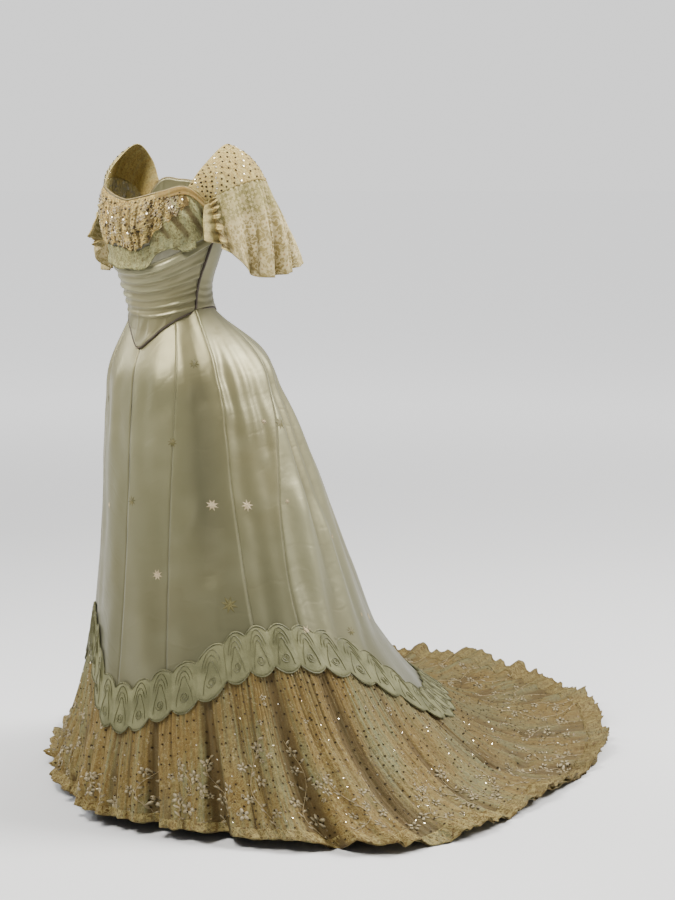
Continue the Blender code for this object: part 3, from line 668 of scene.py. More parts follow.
# %% skirt gores
STROKES = (
    # turn, place of the start, turn, place of the end, width in metres, depth in metres
    (77.0, 0.03, 72.4, 0.115, 0.012, 0.0075),
    (70.0, 0.02, 71.0, 0.110, 0.009, 0.0045),
    (58.0, 0.11, 57.0, 0.50, 0.034, -0.0150),
    (74.0, 0.13, 72.0, 0.33, 0.020, 0.0045),
    (78.0, 0.10, 78.0, 0.40, 0.020, -0.0065),
    (84.0, 0.02, 83.0, 0.26, 0.010, 0.0040),
    (92.0, 0.02, 90.0, 0.30, 0.011, 0.0045),
    (101.0, 0.02, 96.0, 0.36, 0.013, 0.0045),
    (112.0, 0.02, 104.0, 0.55, 0.014, 0.0050),
    (121.0, 0.04, 112.0, 0.62, 0.012, 0.0060),
    (140.0, 0.03, 134.0, 0.50, 0.012, 0.0065),
    (160.0, 0.02, 158.0, 0.55, 0.011, 0.0070),
    (178.0, 0.04, 176.0, 0.55, 0.011, 0.0060),
    (200.0, 0.02, 204.0, 0.50, 0.011, 0.0070),
    (222.0, 0.03, 230.0, 0.45, 0.012, 0.0060),
    (250.0, 0.03, 258.0, 0.40, 0.010, 0.0050),
    (96.0, 0.30, 88.0, 0.66, 0.016, 0.0060),
    (104.0, 0.36, 97.0, 0.68, 0.020, 0.0080),
    (118.0, 0.40, 108.0, 0.70, 0.022, 0.0080),
    (81.0, 0.38, 78.0, 0.66, 0.018, -0.0050),
    (60.0, 0.50, 57.0, 0.66, 0.016, 0.0035),
    (46.0, 0.06, 52.0, 0.18, 0.010, 0.0022),
    (28.0, 0.10, 20.0, 0.22, 0.012, 0.0018),
    (12.0, 0.28, 30.0, 0.25, 0.006, 0.0012),
    (14.0, 0.47, 32.0, 0.465, 0.004, 0.0011),
    (40.0, 0.44, 55.0, 0.36, 0.014, 0.0022),
    (18.0, 0.56, 26.0, 0.70, 0.030, 0.0050),
    (-8.0, 0.30, -14.0, 0.60, 0.024, 0.0035),
    (-24.0, 0.10, -28.0, 0.40, 0.016, 0.0030),
    (-50.0, 0.05, -52.0, 0.30, 0.012, 0.0040),
    (-78.0, 0.04, -80.0, 0.40, 0.014, 0.0050),
)
CLOTH_DOWN = 1.25


def stroke_relief(turn, place, reach):
    """Sum of ridges: each falls off as exp(-(d / width)^2) from its stroke and fades at both ends."""
    relief = np.zeros(turn.shape)
    for turn_a, place_a, turn_b, place_b, width, depth in STROKES:
        offset = np.radians(wrapped(turn - turn_a)) * reach
        drop = (place - place_a) * CLOTH_DOWN
        middle = spline_reach((turn_a + turn_b) / 2, (place_a + place_b) / 2)
        run = np.radians(turn_b - turn_a) * middle
        fall = (place_b - place_a) * CLOTH_DOWN
        share = (offset * run + drop * fall) / (run * run + fall * fall)
        inside = np.clip(share, 0, 1)
        gap = np.hypot(offset - inside * run, drop - inside * fall)
        fade = smooth(-0.06, 0.16, share) * (1 - smooth(0.70, 1.06, share))
        relief += depth * np.exp(-((gap / width) ** 2)) * (0.25 + 0.75 * fade)
    return relief


def spline_reach(turn, place):
    """Reach of the smooth skirt at one turn and place."""
    return float(skirt_profile(np.array([turn]), np.array([place]))[0][0])


def satin_skirt(turn, place):
    """Point on the satin skirt with its long folds, strokes and soft rolls."""
    turn, place = np.broadcast_arrays(np.asarray(turn, float), np.asarray(place, float))
    reach, height = skirt_profile(turn, place)
    rolls = ripple(turn / 16.0, place * 2.4, seed=3) * 0.0032 * smooth(0.05, 0.25, place)
    rolls += ripple(turn / 11.0, place * 9.0, seed=4) * 0.0012 * smooth(0.04, 0.15, place)
    relief = skirt_relief(turn, place) + stroke_relief(turn, place, reach) + rolls
    return at_polar(turn, reach + relief, height)


GORE_CELL = 0.0085
GORE_ROWS = 109
SEAM_DIP, SEAM_WIDTH = 0.0003, 0.0016
# Painted light: each gore is painted a little lighter or darker, as the lamps would light it.
PANEL_PAINTED_LIGHT = {
    "front_left": 0.05, "side_front_left": -0.04, "side_left": -0.02, "back_left": 0.08, "back_right": 0.04,
    "side_right": 0.0, "side_front_right": -0.03, "front_right": -0.03,
}
SEAM_GAP = 0.00016
SATIN_THICKNESS = 0.0012
next_seams = GORE_SEAMS[1:] + ((GORE_SEAMS[0][0], GORE_SEAMS[0][1] + LAP, GORE_SEAMS[0][2] + LAP),)
for (name, waist, foot), (_, next_waist, next_foot) in zip(GORE_SEAMS, next_seams):
    middle = (foot + next_foot) / 2
    width = np.radians(next_foot - foot) * spline_reach(middle, float(around(FLOUNCE_SEAM, middle)))
    share, depth = unit_grid(max(24, round(width / GORE_CELL)) + 1, GORE_ROWS)
    start = foot + (waist - foot) * (1 - depth) ** 2
    end = next_foot + (next_waist - next_foot) * (1 - depth) ** 2
    turn = start + (end - start) * share
    place = depth * around(FLOUNCE_SEAM, turn)
    reach, _ = skirt_profile(turn, place)
    turn = turn + np.degrees(SEAM_GAP / 2 / reach) * (1 - 2 * share)
    edge = np.minimum(share, 1 - share) * (end - start) * np.radians(1) * reach
    groove = -SEAM_DIP * np.exp(-((edge / SEAM_WIDTH) ** 2))
    points = satin_skirt(turn, place)
    # Painted light and shade for the fold attribute: paler on the ridges of the relief, darker in its hollows,
    # a painted brightness for each gore and a painted gradient across it.
    painted_shading = 0.50 + (skirt_relief(turn, place) + stroke_relief(turn, place, reach) - 0.001) / 0.050
    painted_shading = painted_shading + PANEL_PAINTED_LIGHT[name] + 0.07 * np.cos(np.pi * share)
    angle = np.radians(turn)
    points[..., 0] += groove * np.sin(angle)
    points[..., 1] -= groove * np.cos(angle)
    cloth_piece(
        "satin_gore_" + name, points, satin, "satin", ["skirt_gore_" + name], SATIN_THICKNESS,
        "hung", ["bodice_front_drape"], fold=np.clip(painted_shading, 0, 1),
    )
print(len(GORE_SEAMS), "gores")

# %% [markdown]
# The flounce is gold-tan net gathered over green satin. The gathers are real waves: the solids' own,
# then finer ones that start at the seam, and a ruffled edge at the hem. The net's colour is a mix of
# tan thread and the green under it, in streaks that follow the gathers.

# %% net finish
NET_TAN = (0.142, 0.116, 0.042)
NET_GREEN = (0.132, 0.136, 0.068)
NET_RUST = (0.150, 0.080, 0.016)
THREAD_CREAM = (0.35, 0.305, 0.175)
THREAD_DARK = (0.20, 0.15, 0.07)
NET_GAP = (0.075, 0.042, 0.012)
NET_VALLEY_SHADE = (0.078, 0.052, 0.020)
NET_BACK_SHADE = (0.060, 0.040, 0.014)
ALL_OVER = (-2, -1)


def net_finish(name, tan, green, rust, flecks=0.5, lacy=0.5, down=(0.03, 0.26)):
    """Gathered net: streaks along the gathers, broad patches, pale flecks, lace scrolls with dark gaps, painted
    shade in the valleys of the gathers and painted shade over the back. The scrolls are the lines where a
    noise passes its middle value, and they grow over the metres of down."""
    material, pen, cloth, place = finish_of(name, 0.75, Specular_IOR_Level=0.18)
    streaks = cloth.stretched(150.0, 4.0).noise(1.0, 3.0, 0.6)
    threads = cloth.stretched(620.0, 22.0).noise(1.0, 2.0)
    patches = place.noise(6.5, 2.0)
    specks = place.noise(260.0, 2.0, 0.6)
    lace = cloth.noise(48.0, 4.0, 0.7)
    mesh = cloth.cells(620.0)
    shows = (streaks * 0.70 + patches * 0.90 + threads * 0.20).step(0.80, 1.00)
    colour = shows.mix(tan, green)
    rusty = (cloth.stretched(95.0, 3.0).noise(1.0, 2.0) * 0.6 + patches * 0.4).step(0.60, 0.44)
    colour = (rusty * 0.60).mix(colour, rust)
    pale = (specks * 0.6 + lace * 0.5).step(0.60, 0.70) * flecks
    colour = pale.mix(colour, THREAD_CREAM)
    dark = (specks * 0.5 + threads * 0.5).step(0.44, 0.34) * 0.45
    colour = dark.mix(colour, THREAD_DARK)
    hemward = cloth.axis(1).step(*down) * 0.6 + 0.4
    gaps = cloth.noise(150.0, 2.0, 0.6).step(0.50, 0.38) * hemward * lacy
    colour = gaps.mix(colour, NET_GAP)
    scroll = cloth.noise(62.0, 1.0).off_middle().step(0.034, 0.016)
    vine = cloth.noise(118.0, 1.0).off_middle(0.52).step(0.040, 0.018)
    laced = pen.math("MAXIMUM", scroll, vine) * hemward * lacy
    light = [min(0.75, 1.9 * channel) for channel in tan]
    colour = (laced * 0.8).mix(colour, light)
    # Painted shade in the valleys of the gathers, partly the denser net there, and painted shade towards the
    # back of the dress.
    fold = pen.fold()
    colour = (fold.step(0.54, 0.12) * 0.78).mix(colour, NET_VALLEY_SHADE)
    back_shade = place.axis(1).step(0.10, 0.60)
    colour = (back_shade * 0.42).mix(colour, NET_BACK_SHADE)
    height = streaks * 0.0011 + threads * 0.0004 + pale * 0.0005 + laced * 0.0006
    height = height - mesh.step(0.25, 0.45) * 0.00016
    return wear(material, Base_Color=colour, Roughness=pale * 0.1 + 0.66, bump=(height, 1.0, 0.9))


flounce_net = net_finish("gold_tan_net", NET_TAN, NET_GREEN, NET_RUST)
edging = net_finish(
    "gold_lace_edging", (0.150, 0.120, 0.044), (0.135, 0.125, 0.058), (0.15, 0.088, 0.020), 0.5, 1.0, ALL_OVER,
)
print("net", NET_TAN)

# %% flounce
WAVE_METRES = 0.064
FLOUNCE_THICKNESS = 0.0012
NET_THICKNESS = 0.0009
FLOUNCE_FULLNESS = 1.25
EDGING_TOP, EDGING_DEPTH = 0.90, 0.10
FLOUNCE_FOLDS = (
    # turn at the seam, turn at the hem, width in degrees, depth in metres
    (-31.0, -36.0, 3.4, 0.008), (-16.0, -19.0, 3.0, -0.009), (-2.0, -3.0, 3.5, 0.007),
    (9.0, 11.0, 3.2, -0.007), (22.0, 24.0, 3.6, 0.010), (29.5, 30.5, 2.8, -0.028),
    (44.0, 46.0, 3.4, 0.012), (51.5, 53.5, 3.0, -0.032), (68.0, 70.0, 3.0, 0.012),
    (74.0, 75.5, 2.8, -0.030), (79.5, 80.0, 2.2, 0.012), (91.0, 92.0, 3.0, -0.028),
    (99.0, 101.0, 3.0, 0.012), (107.0, 110.0, 3.2, -0.012), (117.0, 121.0, 3.0, 0.012),
    (127.0, 132.0, 3.2, -0.014), (137.0, 142.0, 3.2, 0.014), (148.0, 151.0, 3.0, -0.014),
    (160.0, 160.0, 3.2, 0.014), (171.0, 170.0, 3.2, -0.012), (184.0, 183.0, 3.4, 0.014),
    (196.0, 194.0, 3.0, -0.014), (209.0, 206.0, 3.0, 0.014), (222.0, 217.0, 3.0, -0.012),
    (236.0, 232.0, 3.2, 0.012), (252.0, 250.0, 3.4, -0.010), (270.0, 270.0, 3.6, 0.010),
    (288.0, 287.0, 3.4, -0.010), (310.0, 308.0, 3.4, 0.009),
)
DENTS = (
    # turn, share of the flounce's depth, width in degrees, height as a share, depth in metres
    (128.0, 0.52, 3.0, 0.10, -0.016), (134.0, 0.62, 3.5, 0.07, -0.014), (131.0, 0.57, 1.6, 0.16, 0.008),
    (152.0, 0.60, 4.0, 0.08, -0.010), (206.0, 0.66, 4.0, 0.10, -0.012), (222.0, 0.55, 3.0, 0.12, -0.010),
)


def flounce_relief(turn, place):
    """The solids' gather waves, long deep folds, finer gathers that wander, a ruffled hem, and a few dents
    where the train lies on the floor. With the whole relief come its deep and its fine part."""
    phase = 2 * np.pi * hem_phase(turn)
    share = gathered(turn, place)
    uneven = 1 + 0.30 * np.sin(phase * 3 / 7 + 1.0) + 0.22 * np.sin(phase * 2 / 11)
    wave = 0.010 * uneven * share ** 0.8 * (0.5 - 0.5 * np.cos(phase))
    wander = 2.4 * ripple(phase / 9.0, share * 1.3, seed=8) + 1.1 * ripple(phase / 3.0, share * 2.1, seed=9)
    patchy = 0.75 + 0.55 * ripple(phase / 14.0, share * 1.7, seed=10)
    fine = 0.0013 * patchy * (1 - 0.30 * share) * np.sin(4 * phase + 2.2 * wander)
    fine += 0.0008 * (1 - 0.5 * share) * np.sin(6.6 * phase + 3.1 * wander)
    fine += 0.0018 * share * ripple(phase / 4.0, share * 6.0, seed=14)
    fine += 0.0080 * smooth(112, 150, np.mod(turn, LAP)) * share * ripple(phase / 9.0, share * 4.0, seed=15)
    ruffle = 0.0042 * smooth(0.80, 1.0, share) * np.sin(1.15 * phase + 2.0 * np.sin(phase * 0.37))
    deep = np.zeros(np.broadcast(turn, place).shape)
    for seam_turn, hem_turn, width, depth in FLOUNCE_FOLDS:
        line = seam_turn + (hem_turn - seam_turn) * share
        deep += depth * share ** 0.6 * bump(wrapped(turn - line), width * (1.0 + 0.35 * share))
    long = 0.004 * share * ripple(phase / 26.0, share * 0.8, seed=11)
    for dent_turn, dent_share, wide, tall, depth in DENTS:
        deep += depth * bump(wrapped(turn - dent_turn), wide) * bump(share - dent_share, tall)
    return wave + deep + fine + ruffle + long, deep + wave + long, fine


def flounce_surface(turn, place, lift=0.0):
    """Skirt surface moved out by the flounce's relief."""
    turn, place = np.broadcast_arrays(np.asarray(turn, float), np.asarray(place, float))
    return off_surface(skirt_point, turn, place, flounce_relief(turn, place)[0] + lift)


def flounce_fold(turn, place):
    """Fold attribute of the flounce, from its deep and its fine relief."""
    _, deep, fine = flounce_relief(turn, place)
    return np.clip(0.50 + (deep - 0.004) / 0.030 + fine / 0.0080, 0, 1)


def section(start, end, count, per_wave, depths):
    """Grid of (turn, place, waves) over one section of the flounce."""
    share = np.linspace(0, 1, count * per_wave + 1)[None, :]
    depth = np.asarray(depths)[:, None]
    turn = start + (end - start) * share + 0 * depth
    seam = around(FLOUNCE_SEAM, turn) + 0.0012
    place = seam + (1 - seam) * depth
    reach, _ = skirt_profile(turn, place)
    waves = hem_phase(turn) * WAVE_METRES
    turn = turn + np.degrees(SEAM_GAP / 2 / reach) * (1 - 2 * share)
    return turn, place, waves


def sections(cuts):
    """Each cut's name, the turns where it starts and ends, and its count."""
    ends = [cut[1] for cut in cuts[1:]] + [cuts[0][1] + LAP]
    return [(name, start, end, count) for (name, start, count), end in zip(cuts, ends)]


for name, start, end, count in sections(FLOUNCE_CUTS):
    turn, place, waves = section(start, end, count, 20, np.linspace(0, 1, 33))
    scallop = 0.0016 * np.sin(2 * np.pi * waves / WAVE_METRES * 1.45)
    points = flounce_surface(turn, place + scallop * smooth(0.9, 1.0, gathered(turn, place)))
    uv = metres(points, waves)
    cloth_piece(
        "net_flounce_" + name, points, flounce_net, "flounce_net", ["flounce_" + name], FLOUNCE_THICKNESS,
        "gathered", ["satin_gore_" + ("front_left" if "front" in name else "back_left")], FLOUNCE_FULLNESS, uv,
        flounce_fold(turn, place),
    )
    turn, place, waves = section(start, end, count, 24, np.linspace(EDGING_TOP, 1.0, 6))
    share = (gathered(turn, place) - EDGING_TOP) / EDGING_DEPTH
    phase = 2 * np.pi * waves / WAVE_METRES
    curly = np.sin(2.1 * phase + 1.4 * np.sin(phase * 0.43))
    curly = curly + 0.35 * np.sin(3.1 * phase + 2.0 * np.sin(phase * 0.9))
    lap = np.mod(turn, LAP)
    train = smooth(105, 130, lap) * (1 - smooth(232, 252, lap))
    broad = 1.6 * np.sin(0.62 * phase + 2.2 * np.sin(phase * 0.17)) + 0.4 * np.sin(1.7 * phase)
    curly = (curly * (1 - 0.85 * train) + broad * train) * (0.65 + 0.45 * ripple(phase / 6.0, seed=51))
    stand = train * share ** 1.5 * (0.009 + 0.007 * ripple(phase / 3.0, seed=52))
    frilled = 0.0012 + share * (0.0045 + 0.0028 * curly)
    place = place + 0.0009 * share * np.sin(2.6 * phase + 1.0)
    points = flounce_surface(turn, place)
    outward = at_polar(turn, np.ones(turn.shape), 0 * turn + WAIST_HEIGHT)
    points = points + outward * frilled[..., None] + np.array([0, 0, 1.0]) * (0.5 * frilled + stand)[..., None]
    cloth_piece(
        "hem_edging_" + name, points, edging, "flounce_net", [], NET_THICKNESS, "gathered",
        ["net_flounce_" + name], FLOUNCE_FULLNESS, metres(points, waves),
    )
print(len(FLOUNCE_CUTS), "flounce sections")

# %% [markdown]
# The border hides the seam where satin meets net. It is a band of sage cloth cut in even shells, with
# olive cord couched round each shell, nested arcs inside it and a small scroll under it. A plain
# repeat like this suits any skirt of the time.

# %% border
BORDER_DEPTH = 0.078
BORDER_LIFT = 0.0022
BORDER_RISE = 0.55
SCALLOP_DEPTH = 0.016
BORDER_CUTS = (("front", -60.0, 11), ("left", 60.0, 11), ("back", 150.0, 11), ("right", 212.0, 10))
BORDER_CLOTH = 0.0010
BORDER_ROWS, SHELL_COLUMNS = 13, 20
SHELL_DOME = 0.0026
CORD = 0.0009
CORD_INSET = 0.0022
COIL, SHELL_WIDTH = 0.0110, 0.062
NESTED_ARCS = ((0.15, 0.038), (0.26, 0.027), (0.37, 0.016))


def couched(points, radius, sides=4):
    """Points of a round cord along a path, as a grid: rows go round the cord, columns along it."""
    tangent = np.gradient(points, axis=0)
    tangent /= np.linalg.norm(tangent, axis=1, keepdims=True) + 1e-12
    helper = np.array([0.31, 0.17, 0.94])
    first = np.cross(tangent, helper)
    first /= np.linalg.norm(first, axis=1, keepdims=True) + 1e-12
    second = np.cross(tangent, first)
    angle = np.linspace(0, 2 * np.pi, sides + 1)[:, None, None]
    count = np.arange(len(points))
    radius = radius * np.clip(np.minimum(count, count[::-1]), 0.05, 1.0)[None, :, None]
    return points[None] + radius * (np.cos(angle) * first[None] + np.sin(angle) * second[None])


def joined(name, grids, material, slot):
    """One piece of many small grids of points, each a surface of its own."""
    vertices, faces, start = [], [], 0
    for grid in grids:
        faces.append(grid_quads(*grid.shape[:2]) + start)
        vertices.append(grid.reshape(-1, 3))
        start += len(vertices[-1])
    return ride_with(new_mesh(name, np.concatenate(vertices), np.concatenate(faces)), material, slot)


def cloth_per_place(turn, place):
    """Metres of cloth down the skirt for a whole step of place."""
    step = 0.02
    fall = skirt_point(turn, place + step) - skirt_point(turn, place - step)
    return np.linalg.norm(fall, axis=-1) / (2 * step)


def border_surface(turn, drop, lift):
    """Point on the border: drop metres below the flounce's seam, lifted off the cloth."""
    seam = around(FLOUNCE_SEAM, turn)
    place = seam + drop / cloth_per_place(turn, seam)
    waves = 0.0152 * gathered(turn, place) ** 0.8
    soft = 0.0012 * ripple(turn / 5.0, place * 9.0, seed=12)
    soft = soft + 0.0006 * ripple(turn / 1.3, place * 40.0, seed=13)
    return off_surface(skirt_point, turn, place, lift + waves + soft)


def lobe(unit, power):
    """One arch |sin(pi unit)| over each whole step of unit, with its shape set by a power."""
    return np.abs(np.sin(np.pi * unit)) ** power


def top_edge(unit):
    """Drop of the border's upper edge, a lobe over each shell."""
    return -BORDER_RISE * BORDER_DEPTH - SCALLOP_DEPTH * lobe(unit, 0.8)


def foot_edge(unit):
    """Drop of the border's lower edge, a deeper lobe under each shell."""
    return (1 - BORDER_RISE) * BORDER_DEPTH - 0.004 + 1.1 * SCALLOP_DEPTH * lobe(unit, 0.8)


def shell_lift(unit, part):
    """Lift of the border's face, domed over each shell."""
    return BORDER_LIFT + SATIN_THICKNESS + SHELL_DOME * lobe(unit, 0.7) * np.sin(np.pi * part) ** 0.6


sage, _, cloth, spot = finish_of("sage_applique", 0.62, Specular_IOR_Level=0.25)
grain = cloth.stretched(420.0, 420.0).noise(1.0, 2.0)
cloudy = spot.noise(22.0, 3.0)
tone = (cloudy * 0.7 + grain * 0.3).step(0.40, 0.62)
wear(
    sage, Base_Color=tone.mix((0.104, 0.103, 0.048), (0.166, 0.162, 0.080)),
    bump=(grain * 0.0003 + spot.noise(48.0, 3.0) * 0.0022, 1.0, 0.9),
)
olive, _, _, spot = finish_of("olive_cord", 0.5)
twist = spot.noise(900.0, 2.0)
wear(olive, Base_Color=twist.step(0.35, 0.65).mix((0.062, 0.060, 0.021), (0.118, 0.112, 0.043)),
     bump=(twist * 0.0005, 1.0, 0.8))

for name, start, end, count in sections(BORDER_CUTS):
    share, part = unit_grid(count * SHELL_COLUMNS + 1, BORDER_ROWS)
    unit = share * count
    turn = start + (end - start) * share + 0 * part
    drop = top_edge(unit) + (foot_edge(unit) - top_edge(unit)) * part
    reach = np.linalg.norm(skirt_point(turn, around(FLOUNCE_SEAM, turn))[..., :2], axis=-1)
    turn = turn + np.degrees(SEAM_GAP / 2 / reach) * (1 - 2 * share)
    points = border_surface(turn, drop, shell_lift(unit, part))
    cloth_piece(
        "sage_border_" + name, points, sage, "applique", ["border_" + name], BORDER_CLOTH, "stretched",
        ["satin_gore_front_left", "net_flounce_front"],
    )

    def laid_cord(units, drops):
        """Cord laid on the band along units across and drops down."""
        place = start + (end - start) * units / count
        down = np.clip((drops - top_edge(units)) / (foot_edge(units) - top_edge(units)), 0, 1)
        return couched(border_surface(place, drops, shell_lift(units, down) + 0.7 * CORD), CORD)

    cords = []
    for number in range(count):
        across = np.linspace(0.02, 0.98, 26)
        cords.append(laid_cord(number + across, top_edge(across) + CORD_INSET))
        cords.append(laid_cord(number + across, foot_edge(across) - CORD_INSET))
        for inset, depth in NESTED_ARCS:
            inner = np.linspace(inset, 1 - inset, 20)
            arch = np.sin(np.pi * (inner - inset) / (1 - 2 * inset)) ** 0.6
            cords.append(laid_cord(number + inner, -0.012 - depth * arch))
        sweep = np.linspace(0, 3.4 * np.pi, 34)
        coil = COIL * (1 - sweep / (4.4 * np.pi))
        lean = 1 if number % 2 else -1
        sideways = lean * coil * np.cos(sweep) / SHELL_WIDTH
        cords.append(laid_cord(number + 0.5 + sideways, 0.014 + coil * np.sin(sweep)))
        rise = np.linspace(0, 1, 16)
        for lean in (-1, 1):
            bow = lean * (0.30 - 0.20 * rise ** 2)
            cords.append(laid_cord(number + 0.5 + bow, 0.030 - 0.046 * rise))
    joined("olive_cord_" + name, cords, olive, "applique")
print(sum(cut[2] for cut in BORDER_CUTS), "shells in the border")

# %% [markdown]
# Embroidery stands off the cloth. A motif is an outline about a place on the cloth with its middle
# lifted, and it is closed below. Outlines are drawn in metres across and down, then laid on the
# surface, so each motif bends over the folds under it.


# %% raised work
def padded(surface, base, across, down, outlines, height, bed=0.0004):
    """Vertices and triangles of motifs: outlines (motif, corner, 2) about the places (across, down)."""
    step_a, step_d = 0.02, 0.0006
    span = base(across + step_a, down) - base(across - step_a, down)
    fall = base(across, down + step_d) - base(across, down - step_d)
    per_across = np.linalg.norm(span, axis=-1) / (2 * step_a)
    per_down = np.linalg.norm(fall, axis=-1) / (2 * step_d)
    middle = outlines.mean(1)
    edge_across = across[:, None] + outlines[..., 0] / per_across[:, None]
    edge_down = down[:, None] + outlines[..., 1] / per_down[:, None]
    mid_across = across + middle[:, 0] / per_across
    mid_down = down + middle[:, 1] / per_down
    edge = surface(edge_across, edge_down, bed)
    top = surface(mid_across, mid_down, height)
    under = surface(mid_across, mid_down, -2 * bed)
    corners = outlines.shape[1]
    ring = np.arange(corners)
    after = (ring + 1) % corners
    faces = np.concatenate([
        np.stack([after, ring, 0 * ring + corners], -1), np.stack([ring, after, 0 * ring + corners + 1], -1),
    ])
    faces = faces[None] + (np.arange(len(across)) * (corners + 2))[:, None, None]
    return np.concatenate([edge, top[:, None], under[:, None]], 1).reshape(-1, 3), faces.reshape(-1, 3)


def raised(name, surface, base, places, outlines, height, thread, slot, bed=0.0004, faceted=True):
    """Piece of padded motifs at (across, down) places, with flat or with smooth facets."""
    vertices, faces = padded(surface, base, *places, outlines, height, bed)
    piece = ride_with(new_mesh(name, vertices, faces), thread, slot)
    if faceted:
        piece.data.shade_flat()


def star_outlines(radius, spin, arms=8, waist=0.44):
    """Stars: the radius swings between its full size at each arm's tip and a share of it between."""
    corner = np.arange(2 * arms)
    angle = np.pi * corner / arms + np.asarray(spin)[:, None]
    size = np.where(corner % 2 == 0, 1.0, waist) * np.asarray(radius)[:, None]
    return np.stack([size * np.cos(angle), size * np.sin(angle)], -1)


def sequin_outlines(count, radius):
    """Hexagons, each turned by chance."""
    return star_outlines(np.full(count, radius), 6 * chance.random(count), 3, 1.0)


def leaf_outlines(length, width, angle, start):
    """Leaves: a lens of the given length and width that points along an angle from a start."""
    corner = np.linspace(0, 2 * np.pi, 9)[:-1]
    along_leaf = np.asarray(start)[:, None] + np.asarray(length)[:, None] * (1 - np.cos(corner)) / 2
    aside = np.asarray(width)[:, None] / 2 * np.sin(corner)
    turn_x, turn_y = np.cos(angle)[:, None], np.sin(angle)[:, None]
    return np.stack([along_leaf * turn_x - aside * turn_y, along_leaf * turn_y + aside * turn_x], -1)


def satin_surface(turn, place, lift):
    """Satin skirt moved off along its normal."""
    return off_surface(satin_skirt, turn, place, lift)


def thread_finish(name, dark, light, roughness=0.5, **constants):
    """Embroidery thread: two tones and a fine twist."""
    material, _, _, spot = finish_of(name, roughness, **constants)
    twist = spot.noise(800.0, 2.0)
    tone = spot.noise(70.0, 2.0)
    return wear(material, Base_Color=(twist * 0.5 + tone * 0.5).step(0.38, 0.62).mix(dark, light),
                bump=(twist * 0.0006, 1.0, 0.9))


STARS = (
    # turn, place, radius in metres, 1 for cream and 0 for olive
    (57.5, 0.098, 0.0105, 0), (105.0, 0.238, 0.0130, 0), (39.0, 0.254, 0.0095, 0),
    (8.5, 0.374, 0.0105, 0), (64.0, 0.550, 0.0170, 0), (109.0, 0.618, 0.0100, 0),
    (-19.0, 0.390, 0.0100, 1), (61.5, 0.378, 0.0115, 1), (78.5, 0.382, 0.0120, 1),
    (29.5, 0.502, 0.0110, 1), (90.0, 0.602, 0.0125, 1), (96.0, 0.230, 0.0060, 1),
    (119.0, 0.462, 0.0060, 1), (97.5, 0.382, 0.0050, 1), (120.5, 0.602, 0.0050, 1),
    (-42.0, 0.180, 0.0100, 0), (-66.0, 0.330, 0.0110, 1), (-88.0, 0.150, 0.0100, 0),
    (-52.0, 0.520, 0.0150, 0), (-100.0, 0.430, 0.0105, 1), (-122.0, 0.260, 0.0110, 0),
    (-84.0, 0.560, 0.0095, 1), (-128.0, 0.560, 0.0150, 0), (-146.0, 0.400, 0.0110, 1),
    (-160.0, 0.200, 0.0105, 0), (-168.0, 0.600, 0.0110, 1), (176.0, 0.330, 0.0100, 1),
    (166.0, 0.520, 0.0160, 0), (150.0, 0.240, 0.0100, 1), (141.0, 0.420, 0.0105, 0),
    (152.0, 0.660, 0.0110, 1), (132.0, 0.620, 0.0100, 1), (-60.0, 0.420, 0.0060, 1),
)
star_rows = np.array(STARS)
olive_thread = thread_finish("olive_thread", (0.062, 0.055, 0.010), (0.120, 0.100, 0.026))
cream_thread = thread_finish("cream_thread", (0.260, 0.200, 0.100), (0.430, 0.350, 0.205))
for name, kind, thread in (("olive", 0, olive_thread), ("cream", 1, cream_thread)):
    rows = star_rows[star_rows[:, 3] == kind]
    shape = star_outlines(1.12 * rows[:, 2], 0.25 * rows[:, 0])
    raised(name + "_stars", satin_surface, skirt_point, rows[:, :2].T, shape, 0.0014, thread, "applique")
print(len(STARS), "stars")

# %% [markdown]
# The net is worked with sprays of cream flowers that climb from the hem, each with a stem, pairs of
# leaves and open flowers of five petals, and it is sewn all over with small sequins. Most of them are
# dark, and some, picked by chance, are pale gold as a painted glint.

# %% sprays and sequins
SPRAYS = 46
SPRAY_FOOT = 0.95
STEM = 0.0008
flower_thread = thread_finish("flower_thread", (0.190, 0.152, 0.078), (0.330, 0.275, 0.155))
stem_thread = thread_finish("stem_thread", (0.200, 0.150, 0.062), (0.320, 0.245, 0.115))
SPRAY_FLOWERS = (0.30, 0.46, 0.62, 0.76, 0.90)
PETALS = 5


def seam_to_hem(turn, share):
    """Place on the skirt at a share of the flounce's depth."""
    seam = around(FLOUNCE_SEAM, turn)
    return seam + (1 - seam) * share


def petal_outlines(size, spin):
    """Five petals for each flower of a size, the first one at its spin."""
    size, spin = np.repeat(size, PETALS), np.repeat(spin, PETALS)
    around_heart = np.tile(np.arange(PETALS) * 2 * np.pi / PETALS, len(size) // PETALS)
    return leaf_outlines(size, size * 0.66, spin + around_heart, size * 0.16)


